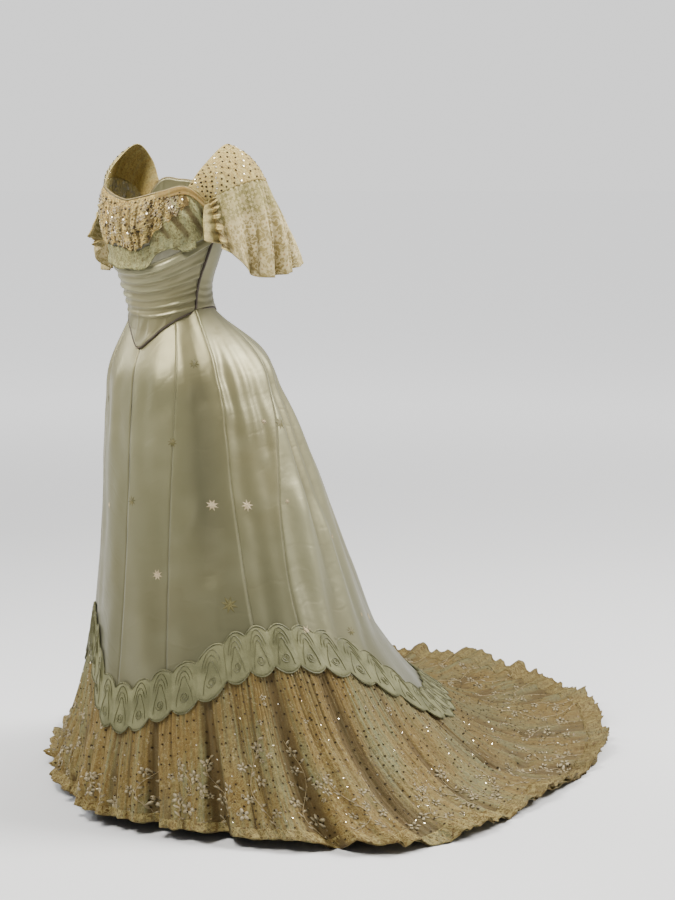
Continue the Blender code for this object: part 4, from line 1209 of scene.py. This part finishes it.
hem_lap = np.linspace(-180, 180, 721)
hem_points = skirt_point(hem_lap, np.full(hem_lap.shape, 0.98))
hem_length = np.concatenate([[0], np.cumsum(np.linalg.norm(np.diff(hem_points, axis=0), axis=-1))])
spray_steps = (np.arange(SPRAYS) + 0.3 * chance.random(SPRAYS)) / SPRAYS
spray_turns = np.interp(spray_steps * hem_length[-1], hem_length, hem_lap)
stems, bloom_rows, leaf_rows = [], [], []
for number, hem_turn in enumerate(spray_turns):
    tall = chance.uniform(0.34, 0.62)
    share = np.linspace(SPRAY_FOOT, SPRAY_FOOT - tall, 26)
    climb = (SPRAY_FOOT - share) / tall
    hem_reach = float(np.linalg.norm(skirt_point(np.array([hem_turn]), np.array([0.9]))[0, :2]))
    lean = chance.uniform(-0.02, 0.02)
    sway = 0.016 * np.sin(2 * np.pi * (1.15 * climb + 0.3 * number)) + lean * climb
    stem_turn = hem_turn + np.degrees(sway / hem_reach)
    stems.append(couched(flounce_surface(stem_turn, seam_to_hem(stem_turn, share), STEM), STEM))
    for count, spot_share in enumerate(SPRAY_FLOWERS):
        at = np.interp(spot_share, climb, stem_turn)
        side = (-1) ** count * chance.uniform(0.010, 0.024) * (spot_share < 0.85)
        flower_turn = at + np.degrees(side / hem_reach)
        flower_place = float(seam_to_hem(flower_turn, SPRAY_FOOT - tall * spot_share))
        size = chance.uniform(0.0085, 0.0130) * (1.15 - 0.3 * spot_share)
        bloom_rows.append((flower_turn, flower_place, size, chance.uniform(0, 6)))
    for count, spot_share in enumerate(np.linspace(0.08, 0.96, 13)):
        at = np.interp(spot_share, climb, stem_turn)
        leaf_place = float(seam_to_hem(at, SPRAY_FOOT - tall * spot_share))
        length = chance.uniform(0.009, 0.016)
        leaf_rows.append((at, leaf_place, length, -np.pi / 2 + (-1) ** count * chance.uniform(0.7, 1.25)))
SMALL_BLOOMS = 260
for _ in range(SMALL_BLOOMS):
    turn = float(np.interp(chance.random() * hem_length[-1], hem_length, hem_lap))
    share = 1 - 0.9 * chance.random() ** 1.6
    bloom_place = float(seam_to_hem(turn, 0.97 * share))
    bloom_rows.append((turn, bloom_place, chance.uniform(0.0035, 0.0065), chance.uniform(0, 6)))
joined("spray_stems", stems, stem_thread, "flounce_net")
blooms = np.array(bloom_rows)
shape = petal_outlines(blooms[:, 2], blooms[:, 3])
raised("spray_flowers", flounce_surface, skirt_point, np.repeat(blooms[:, :2], PETALS, axis=0).T, shape, 0.0013,
       flower_thread, "flounce_net", faceted=False)
leaves = np.array(leaf_rows)
shape = leaf_outlines(leaves[:, 2], leaves[:, 2] * 0.36, leaves[:, 3], 0 * leaves[:, 2])
raised("spray_leaves", flounce_surface, skirt_point, leaves[:, :2].T, shape, 0.0011, flower_thread,
       "flounce_net", faceted=False)


def scattered(spacing):
    """Loose rows of places on the flounce, an even spacing in metres down the cloth and round the hem."""
    places = []
    for length in np.arange(0, hem_length[-1], spacing):
        turn = float(np.interp(length, hem_length, hem_lap))
        seam = float(around(FLOUNCE_SEAM, turn))
        deep = float(cloth_per_place(np.array([turn]), np.array([(1 + seam) / 2]))[0]) * (1 - seam)
        for drop in np.arange(0.5 * spacing, deep - 0.3 * spacing, spacing):
            places.append((turn, seam + (1 - seam) * drop / deep))
    places = np.array(places)
    places[:, 0] += chance.normal(0, 0.32, len(places))
    places[:, 1] += chance.normal(0, 0.0035, len(places))
    return places[:, 0], np.minimum(places[:, 1], 0.985)


dark_sequin = finish_of("dark_sequin", 0.28, Metallic=0.85, Base_Color=(0.050, 0.036, 0.020, 1))[0]
# Painted glint: pale gold sequins stand in for sequins that catch the light.
sequin_painted_glint = finish_of("sequin_painted_glint", 0.16, Metallic=0.9, Base_Color=(0.95, 0.86, 0.62, 1))[0]
turn, place = scattered(0.0215)
painted_glint = chance.random(turn.size) < 0.13
for name, chosen, radius, material in (
    ("dark", ~painted_glint, 0.0022, dark_sequin), ("painted_glint", painted_glint, 0.0019, sequin_painted_glint),
):
    shape = sequin_outlines(chosen.sum(), radius)
    places = (turn[chosen], place[chosen])
    raised("flounce_sequins_" + name, flounce_surface, skirt_point, places, shape, 0.0012, material,
           "flounce_net", 0.0008)
print(len(stems), "sprays,", len(bloom_rows), "flowers")

# %% [markdown]
# The bodice front is one length of satin draped in uneven pleats that sweep up to the opening at the
# left side, and smooth below them over the boned point. Each pleat rolls over a sharp lower edge, so
# its ridge falls off slowly above and fast below. Smaller pleats follow the same lines.

# %% bodice
BODICE_THICKNESS = 0.0012
FOLD_FADE = 0.010
ABOVE_RIDGE, BELOW_RIDGE = 1.20, 0.22
RIDGE_POWER = 1.3


def opening_turn(height):
    """Turn of the bodice's side opening at a height."""
    return along(OPENING_TURNS, height)


def ridge_height(fold, turn):
    """Height of one draped pleat's ridge at a turn."""
    right, centre, left, _, _ = fold
    return along(((RIGHT_SEAM, right), (-18.0, centre + 0.003), (8.0, centre), (84.0, left)), turn)


def drape_relief(turn, height):
    """Pleats: exp(-|x / width|^1.3) about each ridge, much narrower below it, with fine pleats between."""
    turn = wrapped(turn)
    relief = np.zeros(np.broadcast(turn, height).shape)
    ridges = [ridge_height(fold, turn) for fold in DRAPE_FOLDS]
    for number, (fold, ridge) in enumerate(zip(DRAPE_FOLDS, ridges)):
        strength = 0.80 + 0.30 * np.sin(np.radians(2.3 * turn + 70.0 * number))
        above = height - ridge
        wide = np.where(above > 0, fold[3] * ABOVE_RIDGE, fold[3] * BELOW_RIDGE)
        relief += fold[4] * 1.60 * strength * np.exp(-(np.abs(above / wide) ** RIDGE_POWER))
    between = np.zeros(relief.shape)
    for upper, lower in zip(ridges[:-1], ridges[1:]):
        between += np.clip((upper - height) / np.maximum(upper - lower, 1e-3), 0, 1)
    sweep = between + 0.20 * np.sin(np.radians(turn * 1.7))
    return relief + 0.0003 * np.sin(2 * np.pi * 2 * sweep) * smooth(0.02, 0.3, between)


def bodice_grid(left, right, top, foot, columns, rows):
    """Grid of (turn, height) with leaning sides: left and right give the turn at a height."""
    share, depth = unit_grid(columns + 1, rows + 1)
    height = WAIST_HEIGHT + 0 * share * depth
    for _ in range(8):
        turn = left(height) + (right(height) - left(height)) * share
        height = top(turn) + (foot(turn) - top(turn)) * depth
    return turn, height


half_opening = np.degrees(OPENING_GAP / 2 / 0.11)
half_seam = np.degrees(SEAM_GAP / 2 / 0.10)


def right_seam(height):
    """Front edge turn at the right side seam."""
    return RIGHT_SEAM + half_seam + 0 * height


def front_left(height):
    """Front edge turn at the side opening."""
    return opening_turn(height) - half_opening


def back_left(height):
    """Back edge turn at the side opening."""
    return opening_turn(height) + half_opening


def draped(turn, height):
    """Bodice surface with the pleats, faded out at the edges, and the bones of the point."""
    fade = smooth(0.0, FOLD_FADE, drape_top(turn) - height) * smooth(0.0, FOLD_FADE, height - basque(turn))
    fade = fade * smooth(0.0, 2.2, opening_turn(height) - wrapped(turn))
    bones = sum(np.exp(-((wrapped(turn - line) / 1.6) ** 2)) for line in (-30.0, -9.0, 9.0, 31.0))
    point = 1 - smooth(1.030, 1.062, height)
    soft = 0.0011 * ripple(turn / 13.0, height * 18.0, seed=21)
    return bodice_point(turn, height, (drape_relief(turn, height) + soft) * fade + 0.0009 * bones * point)


turn, height = bodice_grid(right_seam, front_left, drape_top, basque, 140, 134)
# The fold attribute paints shade between the pleats and a highlight on their ridges.
cloth_piece(
    "draped_front", draped(turn, height), satin, "satin", ["bodice_front_drape"], BODICE_THICKNESS,
    "draped", ["bodice_front_yoke"], 1.15, fold=np.clip(0.20 + drape_relief(turn, height) / 0.0065, 0, 0.9),
)

pearl = satin_finish("pearl_grey_satin", (0.150, 0.147, 0.100), (0.165, 0.150, 0.092), (0.240, 0.240, 0.170))
turn, height = bodice_grid(right_seam, front_left, neck, lambda t: drape_top(t) + SEAM_GAP, 120, 30)
gathers = 0.0009 * np.sin(np.radians(turn) * 44 + 2 * np.sin(height * 60))
gathers = gathers * smooth(0, 0.02, neck(turn) - height) * smooth(0, 0.012, height - drape_top(turn))
cloth_piece(
    "satin_yoke", bodice_point(turn, height, gathers), pearl, "satin", ["bodice_front_yoke"], BODICE_THICKNESS,
    "stretched", ["shoulder_cap_left", "shoulder_cap_right"],
)


def back_relief(turn, height):
    """Seams of the fitted back as shallow grooves, and soft creases at the waist."""
    seams = sum(np.exp(-((wrapped(turn - line) / 1.1) ** 2)) for line in (108, 132, 156, 204, 228, 250))
    waist = np.exp(-(((height - 1.085) / 0.03) ** 2))
    crease = 0.0005 * np.sin(height * 420 + 2.0 * np.sin(np.radians(turn * 5)))
    return -0.0011 * seams + waist * crease + 0.0012 * ripple(turn / 14.0, height * 16.0, seed=23)


for name, left, right in (
    ("left", back_left, lambda height: 180.0 - half_seam + 0 * height),
    ("right", lambda height: 180.0 + half_seam + 0 * height,
     lambda height: LAP + RIGHT_SEAM - half_seam + 0 * height),
):
    turn, height = bodice_grid(left, right, neck, basque, 66, 60)
    fade = smooth(0.0, 0.006, neck(turn) - height) * smooth(0.0, 0.006, height - basque(turn))
    cloth_piece(
        "satin_back_" + name, bodice_point(turn, height, back_relief(turn, height) * fade), satin, "satin",
        ["bodice_back_" + name], BODICE_THICKNESS, "stretched", ["shoulder_cap_" + name],
    )
print("bodice of four pieces")

# %% [markdown]
# Net on the yoke hangs in soft scallops with a worked edge. The frill round the neck is a strip of
# gold lace gathered hard, most of all in a knot left of the centre. Its waves run up and down, turn
# over unevenly and spread at the foot. At the left side the net is drawn up to the arm in slanting
# folds.

# %% yoke net and neck frills
LAY = 0.0006 + 0.0018
CHEST_REACH, NECK_REACH = 0.14, 0.15
KNOT_TURN, KNOT_WIDTH = 17.0, 9.0
sage_net = net_finish(
    "sage_net", (0.215, 0.205, 0.088), (0.240, 0.243, 0.120), (0.14, 0.118, 0.042), 0.3, 0.55, ALL_OVER,
)
gold_lace = net_finish(
    "gold_lace", (0.300, 0.222, 0.070), (0.270, 0.222, 0.086), (0.22, 0.120, 0.024), 0.5, 0.9, ALL_OVER,
)


def scallop_foot(turn):
    """Lower edge: half waves |sin| over the drape's top, and a tab that curves up toward the left."""
    tab = smooth(16, 27, turn) * (1 - smooth(44, 52, turn)) * 0.026
    tab = tab * np.abs(np.sin(np.radians((turn - 16) * 4.8)))
    return drape_top(turn) - 0.003 - 0.005 * np.abs(np.sin(np.radians(turn * 7.5))) + tab


def over_drape(turn, height):
    """Lift that takes the net out over the upper edge of the draped front."""
    return 0.0065 * smooth(-0.012, 0.006, drape_top(turn) - height)


share, depth = unit_grid(191, 19)
turn = -70.0 + 132.0 * share + 0 * depth
top = np.minimum(drape_top(turn) + 0.038, along(FRILL_EDGE, turn) - 0.001)
height = top + (scallop_foot(turn) - top) * depth
folds = 0.0016 * np.sin(np.radians(turn) * 38 + 1.5 * np.sin(np.radians(turn) * 9)) * depth
edge = 0.0012 * smooth(0.86, 0.97, depth) * np.abs(np.sin(np.radians(turn * 45)))
points = bodice_point(turn, height, LAY + over_drape(turn, height) + folds * 0.6 + edge)
cloth_piece(
    "scalloped_net", points, sage_net, "yoke_net", ["yoke_scallops"], NET_THICKNESS, "hung", ["satin_yoke"],
    1.1, metres(points, np.radians(turn) * CHEST_REACH),
)
edge_turn = np.linspace(-69.5, 61.5, 300)
edge_height = scallop_foot(edge_turn)
edge_line = bodice_point(edge_turn, edge_height, LAY + over_drape(edge_turn, edge_height) + 0.0010)
joined("scallop_cord", [couched(edge_line, CORD)], olive, "yoke_net")

share, depth = unit_grid(71, 41)
turn = 22.0 + 52.0 * share + 0 * depth
top = neck(turn) - 0.008
foot = drape_top(turn) + 0.003 + 0.030 * (1 - smooth(26, 50, turn))
height = top + (foot - top) * depth
slant = np.sin(2 * np.pi * (3.5 * share - 1.5 * depth) + 1.2 * np.sin(4 * depth + 2 * share))
lift = LAY + 0.0046 * (0.5 + 0.5 * slant) ** 1.8 * np.sin(np.pi * depth) ** 0.5
side_points = bodice_point(turn, height, lift + 0.0008 * ripple(3 * share, 3 * depth, seed=35))
cloth_piece(
    "side_net", side_points, sage_net, "yoke_net", [], NET_THICKNESS, "draped", ["satin_yoke"], 1.15,
    metres(side_points, np.radians(turn) * CHEST_REACH), 0.5 + 0.5 * slant * np.sin(np.pi * depth),
)


def frill_phase(turn, share):
    """Phase of the frill's gathers, which wander as they go down."""
    angle = np.radians(turn)
    return 40 * angle + 3.6 * ripple(angle * 3.1, share * 1.3, seed=32)


def frill(turn, share, foot, knot, lift=0.0):
    """Gathered frill: waves across it that grow down from the neck edge, with finer ones between."""
    top = neck(turn) - 0.002
    drawn = np.exp(-(((turn - KNOT_TURN) / KNOT_WIDTH) ** 2)) * knot
    angle = np.radians(turn)
    full = 0.35 + 0.75 * drawn + 0.35 * ripple(angle * 2.2, seed=31) ** 2
    full = full * (1 - 0.75 * knot * smooth(33.0, 40.0, turn))
    phase = frill_phase(turn, share)
    gather = 0.5 + 0.5 * np.sin(phase)
    fine = 0.0011 * np.sin(2.6 * phase + 2.2 * ripple(angle * 7.0, share * 2.0, seed=33))
    rise = np.clip(share, 0, 1) ** 0.7 * (0.0025 + 0.0085 * gather * full)
    puff = np.sin(np.pi * np.clip(share, 0, 1)) * (0.0035 * full + 0.0060 * drawn) + 0.0035 * drawn * share
    ends = 0.0030 * np.sin(1.3 * phase + 1.0) * smooth(0.8, 1.0, share)
    heap = 0.0022 * drawn * np.sin(share * 14 + 3 * ripple(angle * 6.0, share, seed=34))
    heap = heap * smooth(0.05, 0.3, share)
    lift_off = 0.0026 + rise + puff + heap + fine * full * smooth(0, 0.2, share) + lift
    return bodice_point(turn, top + (foot - top) * share + ends, lift_off)


def frill_fold(turn, share):
    """Fold attribute of the frill, from the same waves as its gathers."""
    return np.clip(0.46 + 0.46 * np.sin(frill_phase(turn, share)) * smooth(0.02, 0.3, share), 0, 1)


for name, start, end, count, knot in (("front", -56.0, 54.0, 300, 1.0), ("back", 132.0, 228.0, 220, 0.0)):
    turn, share = np.meshgrid(np.linspace(start, end, count + 1), np.linspace(0, 1, 28))
    foot = along(FRILL_EDGE, wrapped(turn)) if name == "front" else neck(turn) - 0.060
    points = frill(turn, share, foot, knot)
    cloth_piece(
        "neck_lace_" + name, points, gold_lace, "lace", ["neck_frill_" + name], NET_THICKNESS, "gathered",
        ["satin_yoke" if name == "front" else "satin_back_left"], 1.2,
        metres(points, np.radians(turn) * NECK_REACH), frill_fold(turn, share),
    )
tulle = net_finish("tan_tulle", (0.235, 0.170, 0.052), (0.220, 0.180, 0.070), (0.21, 0.12, 0.03), 0.2, 0.15)
share, depth = unit_grid(61, 11)
turn = 27.0 + 42.0 * share
lift = LAY + 0.0036 + 0.0007 * np.sin(9 * depth + turn / 9)
points = bodice_point(turn, neck(turn) + 0.0006 - 0.0155 * depth, lift)
cloth_piece("neck_band", points, tulle, "lace", [], NET_THICKNESS, "stretched", ["satin_yoke"], 1.0)
turn = np.linspace(0, LAP, 401)
binding = couched(bodice_point(turn, neck(turn) + 0.0002, 0.0002), 0.0020, 7)
binding[:, 0] = binding[:, -1] = binding[:, 1] * 0.5 + binding[:, -2] * 0.5
lace_thread = thread_finish("lace_thread", (0.26, 0.195, 0.075), (0.42, 0.345, 0.160))
binding_thread = thread_finish("binding_thread", (0.170, 0.125, 0.046), (0.270, 0.210, 0.092))
joined("neck_binding", [binding], binding_thread, "lace")


def frill_surface(turn, share, lift):
    """Front frill moved off its face."""
    return frill(turn, share, along(FRILL_EDGE, wrapped(turn)), 1.0, lift)


def frill_base(turn, share):
    """Front frill without its gathers."""
    return bodice_point(turn, neck(turn) + (along(FRILL_EDGE, wrapped(turn)) - neck(turn)) * share, 0.006)


LACE_LEAVES, LACE_BLOOMS = 620, 44
SEQUIN = 0.0024
turn, share = chance.uniform(-55, 46, LACE_LEAVES), chance.uniform(0.03, 0.99, LACE_LEAVES)
length = chance.uniform(0.0035, 0.0085, LACE_LEAVES)
shape = leaf_outlines(length, length * 0.34, chance.uniform(0, 6.3, LACE_LEAVES), -0.5 * length)
raised("lace_leaves", frill_surface, frill_base, (turn, share), shape, 0.0019, lace_thread, "lace",
       0.0005, faceted=False)
turn, share = chance.uniform(-54, 44, LACE_BLOOMS), chance.uniform(0.15, 0.92, LACE_BLOOMS)
size = chance.uniform(0.0042, 0.0068, LACE_BLOOMS)
shape = petal_outlines(size, chance.uniform(0, 6.3, LACE_BLOOMS))
places = np.repeat((turn, share), PETALS, axis=1)
raised("lace_blooms", frill_surface, frill_base, places, shape, 0.0024, cream_thread, "lace",
       0.0006, faceted=False)
# The frill's pale gold sequins are the painted glint too.
for name, count, material in (("dark", 120, dark_sequin), ("painted_glint", 16, sequin_painted_glint)):
    turn, share = chance.uniform(-54, 50, count), chance.uniform(0.06, 0.96, count)
    shape = sequin_outlines(count, SEQUIN)
    raised("frill_sequins_" + name, frill_surface, frill_base, (turn, share), shape, 0.0028, material,
           "lace", 0.0018)
print("neck dressed")

# %% [markdown]
# Each shoulder is a cap of sequinned net, and from its edge hangs a short lace flounce over the arm.
# The left ones are worked out from lines over the shoulder, and the right ones are their mirror.

# %% shoulders
SIDES = (("left", 1.0), ("right", -1.0))
CAP_STATIONS = (0.0, 0.25, 0.5, 0.75, 1.0)
CAP_PUFF = 0.013
SLEEVE_TOP = 0.975
SLEEVE_WAVES = 5.3
ARM_AXIS = np.array([0.135, 0.045, 0.0])
SLEEVE_DROP = np.array([-0.0004, 0.0, -0.0022])


def cap_point(over, out):
    """Point on the cap: a smooth curve through five lines over the shoulder, puffed in the middle."""
    over, out = np.broadcast_arrays(np.asarray(over, float), np.asarray(out, float))
    flat_over, flat_out = over.ravel(), out.ravel()
    lines = [inner + (outer - inner) * flat_out[..., None] for inner, outer in np.array(CAP_ROWS)]
    lines = [line - np.array([0, 0, WAIST_HEIGHT]) for line in lines]
    roots = []
    for inner, outer in CAP_ROOTS:
        turn = inner + (outer - inner) * flat_out
        roots.append(bodice_point(turn, neck(turn) + 0.002))
    lines = np.array([roots[0]] + lines + [roots[1]])
    point = np.stack([spline(CAP_STATIONS, lines[:, :, axis], flat_over) for axis in range(3)], -1)
    swell = np.sin(np.pi * np.clip(flat_out, 0, 1)) * np.sin(np.pi * np.clip(flat_over, 0, 1)) ** 0.7
    point[:, 2] += CAP_PUFF * swell * 0.85
    point[:, 0] += CAP_PUFF * swell * 0.5
    return point.reshape(over.shape + (3,))


def sleeve_phase(over, down):
    """Phase of the sleeve's waves, which crowd and spread over the arm."""
    return 2 * np.pi * SLEEVE_WAVES * over + 1.5 * np.sin(2 * np.pi * 1.7 * over + 0.6) + 0.5 * down


def sleeve_point(over, down, lift=0.0):
    """Point on the sleeve flounce: from the cap's edge to its hem, with waves that grow downwards."""
    over, down = np.broadcast_arrays(np.asarray(over, float), np.asarray(down, float))
    top = cap_point(over, np.full(over.shape, SLEEVE_TOP)) + SLEEVE_DROP
    hem = spline(np.linspace(0, 1, len(SLEEVE_HEM)), np.array(SLEEVE_HEM), over)
    hem = hem - np.array([0, 0, WAIST_HEIGHT])
    point = top + (hem - top) * down[..., None]
    outward = point - ARM_AXIS
    outward[..., 2] = 0
    outward /= np.linalg.norm(outward, axis=-1, keepdims=True)
    fall = np.clip(down, 0, 1)
    phase = sleeve_phase(over, down)
    wave = 0.0200 * fall ** 0.85 * (0.5 + 0.5 * np.sin(phase)) ** 1.4
    wave += 0.0055 * fall * np.sin(2.3 * phase + 1.0)
    wave += 0.0100 * fall * (1 - smooth(0.10, 0.22, over)) * np.sin(70 * over)
    swell = 0.011 * np.sin(np.pi * fall) * np.sin(np.pi * np.clip(over, 0, 1))
    gathers = 0.0010 * (1 - fall) ** 3 * np.sin(2 * np.pi * 24 * over + 2.4 * ripple(over * 5.0, fall, seed=41))
    soft = 0.0030 * fall * ripple(over * 5.0, fall * 1.6, seed=42)
    curl = 0.0024 * smooth(0.88, 1.0, down) * np.sin(2.7 * phase + 1.0)
    return point + outward * (wave + swell + gathers + soft + curl + lift)[..., None]


def sleeve_fold(over, down):
    """Fold attribute of the sleeve, from the phase of its waves."""
    return 0.5 + 0.5 * np.sin(sleeve_phase(over, down)) * np.clip(down * 2, 0, 1)


def rosettes(field, cloth, per_metre, radius, petals=5.0):
    """Masks of scattered flowers and their hearts: petals widen the radius by a cosine of the angle."""
    inputs = {"Vector": cloth, "Scale": per_metre, "Randomness": 0.55}
    centre = field.node("TexVoronoi", {"voronoi_dimensions": "2D"}, inputs, 2)
    local = field.node("VectorMath", {"operation": "SUBTRACT"}, {0: cloth, 1: centre})
    length = local.length()
    angle = field.math("ARCTAN2", local.axis(1), local.axis(0))
    outline = field.math("COSINE", angle * petals) * (0.30 * radius) + radius
    flower = (length / outline).step(1.06, 0.94)
    heart = (length / radius).step(0.34, 0.22)
    return flower, heart


lace, pen, cloth, spot = finish_of("sleeve_lace", 0.75, Specular_IOR_Level=0.18)
flower, heart = rosettes(pen, cloth, 34.0, 0.0085)
small, _ = rosettes(pen, cloth, 95.0, 0.0030, 4.0)
hemward = cloth.axis(1).step(0.045, 0.085)
mesh = cloth.cells(650.0)
strands = cloth.stretched(300.0, 30.0).noise(1.0, 2.0)
cloudy = spot.noise(16.0, 3.0)
scroll = cloth.noise(58.0, 1.0).off_middle().step(0.040, 0.018) * (hemward * 0.75 + 0.10)
motif = pen.math("MAXIMUM", pen.math("MAXIMUM", flower * (hemward * 0.65 + 0.35), small * 0.5), scroll)
ground = (cloudy * 0.7 + strands * 0.3).step(0.38, 0.62).mix((0.205, 0.175, 0.062), (0.290, 0.245, 0.095))
fold = pen.fold()
# Painted shade in the valleys of the sleeve's waves and a painted highlight on their ridges.
ground = (fold.step(0.62, 0.02) * 0.80).mix(ground, (0.105, 0.086, 0.032))
ground = (fold.step(0.60, 1.00) * 0.55).mix(ground, (0.430, 0.370, 0.185))
colour = (hemward * 0.55).mix(ground, (0.275, 0.205, 0.080))
colour = (motif * 0.85).mix(colour, (0.540, 0.450, 0.240))
colour = (heart * motif * 0.8).mix(colour, (0.30, 0.19, 0.07))
thread = mesh.step(0.32, 0.42)
clear = (motif + hemward * 0.35 + thread * 0.25 + 0.56).step(0.0, 1.0)
height = motif * 0.0007 + strands * 0.0005 + spot.noise(220.0) * 0.0006
wear(lace, Base_Color=colour, Alpha=clear, bump=(height, 1.0, 0.8))

cap_net = net_finish(
    "sequin_cap_net", (0.38, 0.305, 0.115), (0.35, 0.310, 0.140), (0.30, 0.195, 0.055), 0.5, 0.30, ALL_OVER,
)
for side, flip in SIDES:
    mirror = np.array([flip, 1.0, 1.0])
    order = slice(None) if flip > 0 else slice(None, None, -1)
    over, out = np.meshgrid(np.linspace(0, 1, 67), np.linspace(0, 1, 31))
    pucker = 0.0008 * np.sin(over * 95 + 3 * np.sin(out * 6)) * np.sin(np.pi * out)
    points = (cap_point(over, out) + pucker[..., None] * np.array([0.5, 0, 0.85])) * mirror
    cloth_piece(
        "sequinned_cap_" + side, points[:, order], cap_net, "sequin_net", ["shoulder_cap_" + side], 0.0012,
        "stretched", ["satin_back_" + side],
    )
    over, down = np.meshgrid(np.linspace(0, 1, 181), np.linspace(0, 1, 41))
    points = sleeve_point(over, down) * mirror
    cloth_piece(
        "lace_sleeve_" + side, points[:, order], lace, "lace", ["sleeve_flounce_" + side], NET_THICKNESS,
        "gathered", ["sequinned_cap_" + side], 1.2, None, sleeve_fold(over, down)[:, order],
    )
    over, down = np.meshgrid(np.linspace(0.004, 0.135, 25), np.linspace(0.02, 0.98, 121))
    free = (over - 0.004) / 0.131
    tumble = 2 * np.pi * 6.5 * down + 3.2 * np.sin(5 * down) + 2.2 * free
    ruffled = 0.0030 + 0.0085 * free * (0.5 + 0.5 * np.sin(tumble)) + 0.0016 * free * np.sin(3.3 * tumble)
    points = sleeve_point(over + 0.014 * free * np.sin(tumble + 0.8), down, ruffled) * mirror
    cloth_piece(
        "sleeve_cascade_" + side, points[:, order], cap_net, "lace", [], NET_THICKNESS, "gathered",
        ["lace_sleeve_" + side], 1.3, None, (0.5 + 0.45 * np.sin(tumble) * free)[:, order],
    )


def cap_surface(over, out, lift):
    """Cap moved off along its normal."""
    return off_surface(cap_point, over, out, lift)


over, out = np.meshgrid(np.linspace(0.04, 0.96, 17), np.linspace(0.08, 0.93, 8))
over = (over + 0.030 * (np.arange(8) % 2)[:, None]).ravel() + chance.uniform(-0.008, 0.008, over.size)
out = out.ravel() + chance.uniform(-0.02, 0.02, out.size)
inside = over < 0.98
over, out = over[inside], out[inside]
vertices, faces = padded(cap_surface, cap_point, over, out, sequin_outlines(len(over), SEQUIN), 0.0016, 0.0009)
# Every fourth sequin of the caps is the painted glint.
painted_glint = np.repeat(np.arange(len(over)) % 4 == 1, len(faces) // len(over))
for side, flip in SIDES:
    mirror = np.array([flip, 1.0, 1.0])
    rows = faces if flip > 0 else faces[:, ::-1]
    for name, chosen, material in (("dark", ~painted_glint, dark_sequin), ("painted_glint", painted_glint, sequin_painted_glint)):
        piece = new_mesh("cap_sequins_" + name + "_" + side, vertices * mirror, rows[chosen])
        ride_with(piece, material, "sequin_net").data.shade_flat()
print("shoulders dressed")

# %% [markdown]
# Two solids keep their shape: the dark piping round the point of the bodice and the dark edge of the
# side opening. They only get a corded finish. The flat cut of each sheet is printed last.

# %% piping and flat cuts
piping, _, _, spot = finish_of("dark_piping", 0.55)
twill = spot.noise(700.0, 2.0)
wear(piping, Base_Color=twill.step(0.35, 0.65).mix((0.030, 0.021, 0.014), (0.075, 0.053, 0.034)),
     bump=(twill * 0.0004, 1.0, 0.8))
heights = np.linspace(float(basque(np.array(72.0))) + 0.002, 1.238, 90)
side_line = bodice_point(opening_turn(heights), heights, 0.0042)
joined("side_piping", [couched(side_line, 0.0021, 7)], piping, "piping")
for name in ("basque_piping", "side_opening_edge"):
    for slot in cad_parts[name].material_slots:
        slot.material = piping
for piece, flat, held, rests_on, area in SHEETS:
    print(piece.name, "cut", round(flat[0], 3), "x", round(flat[1], 3), "m, area", round(area, 3))
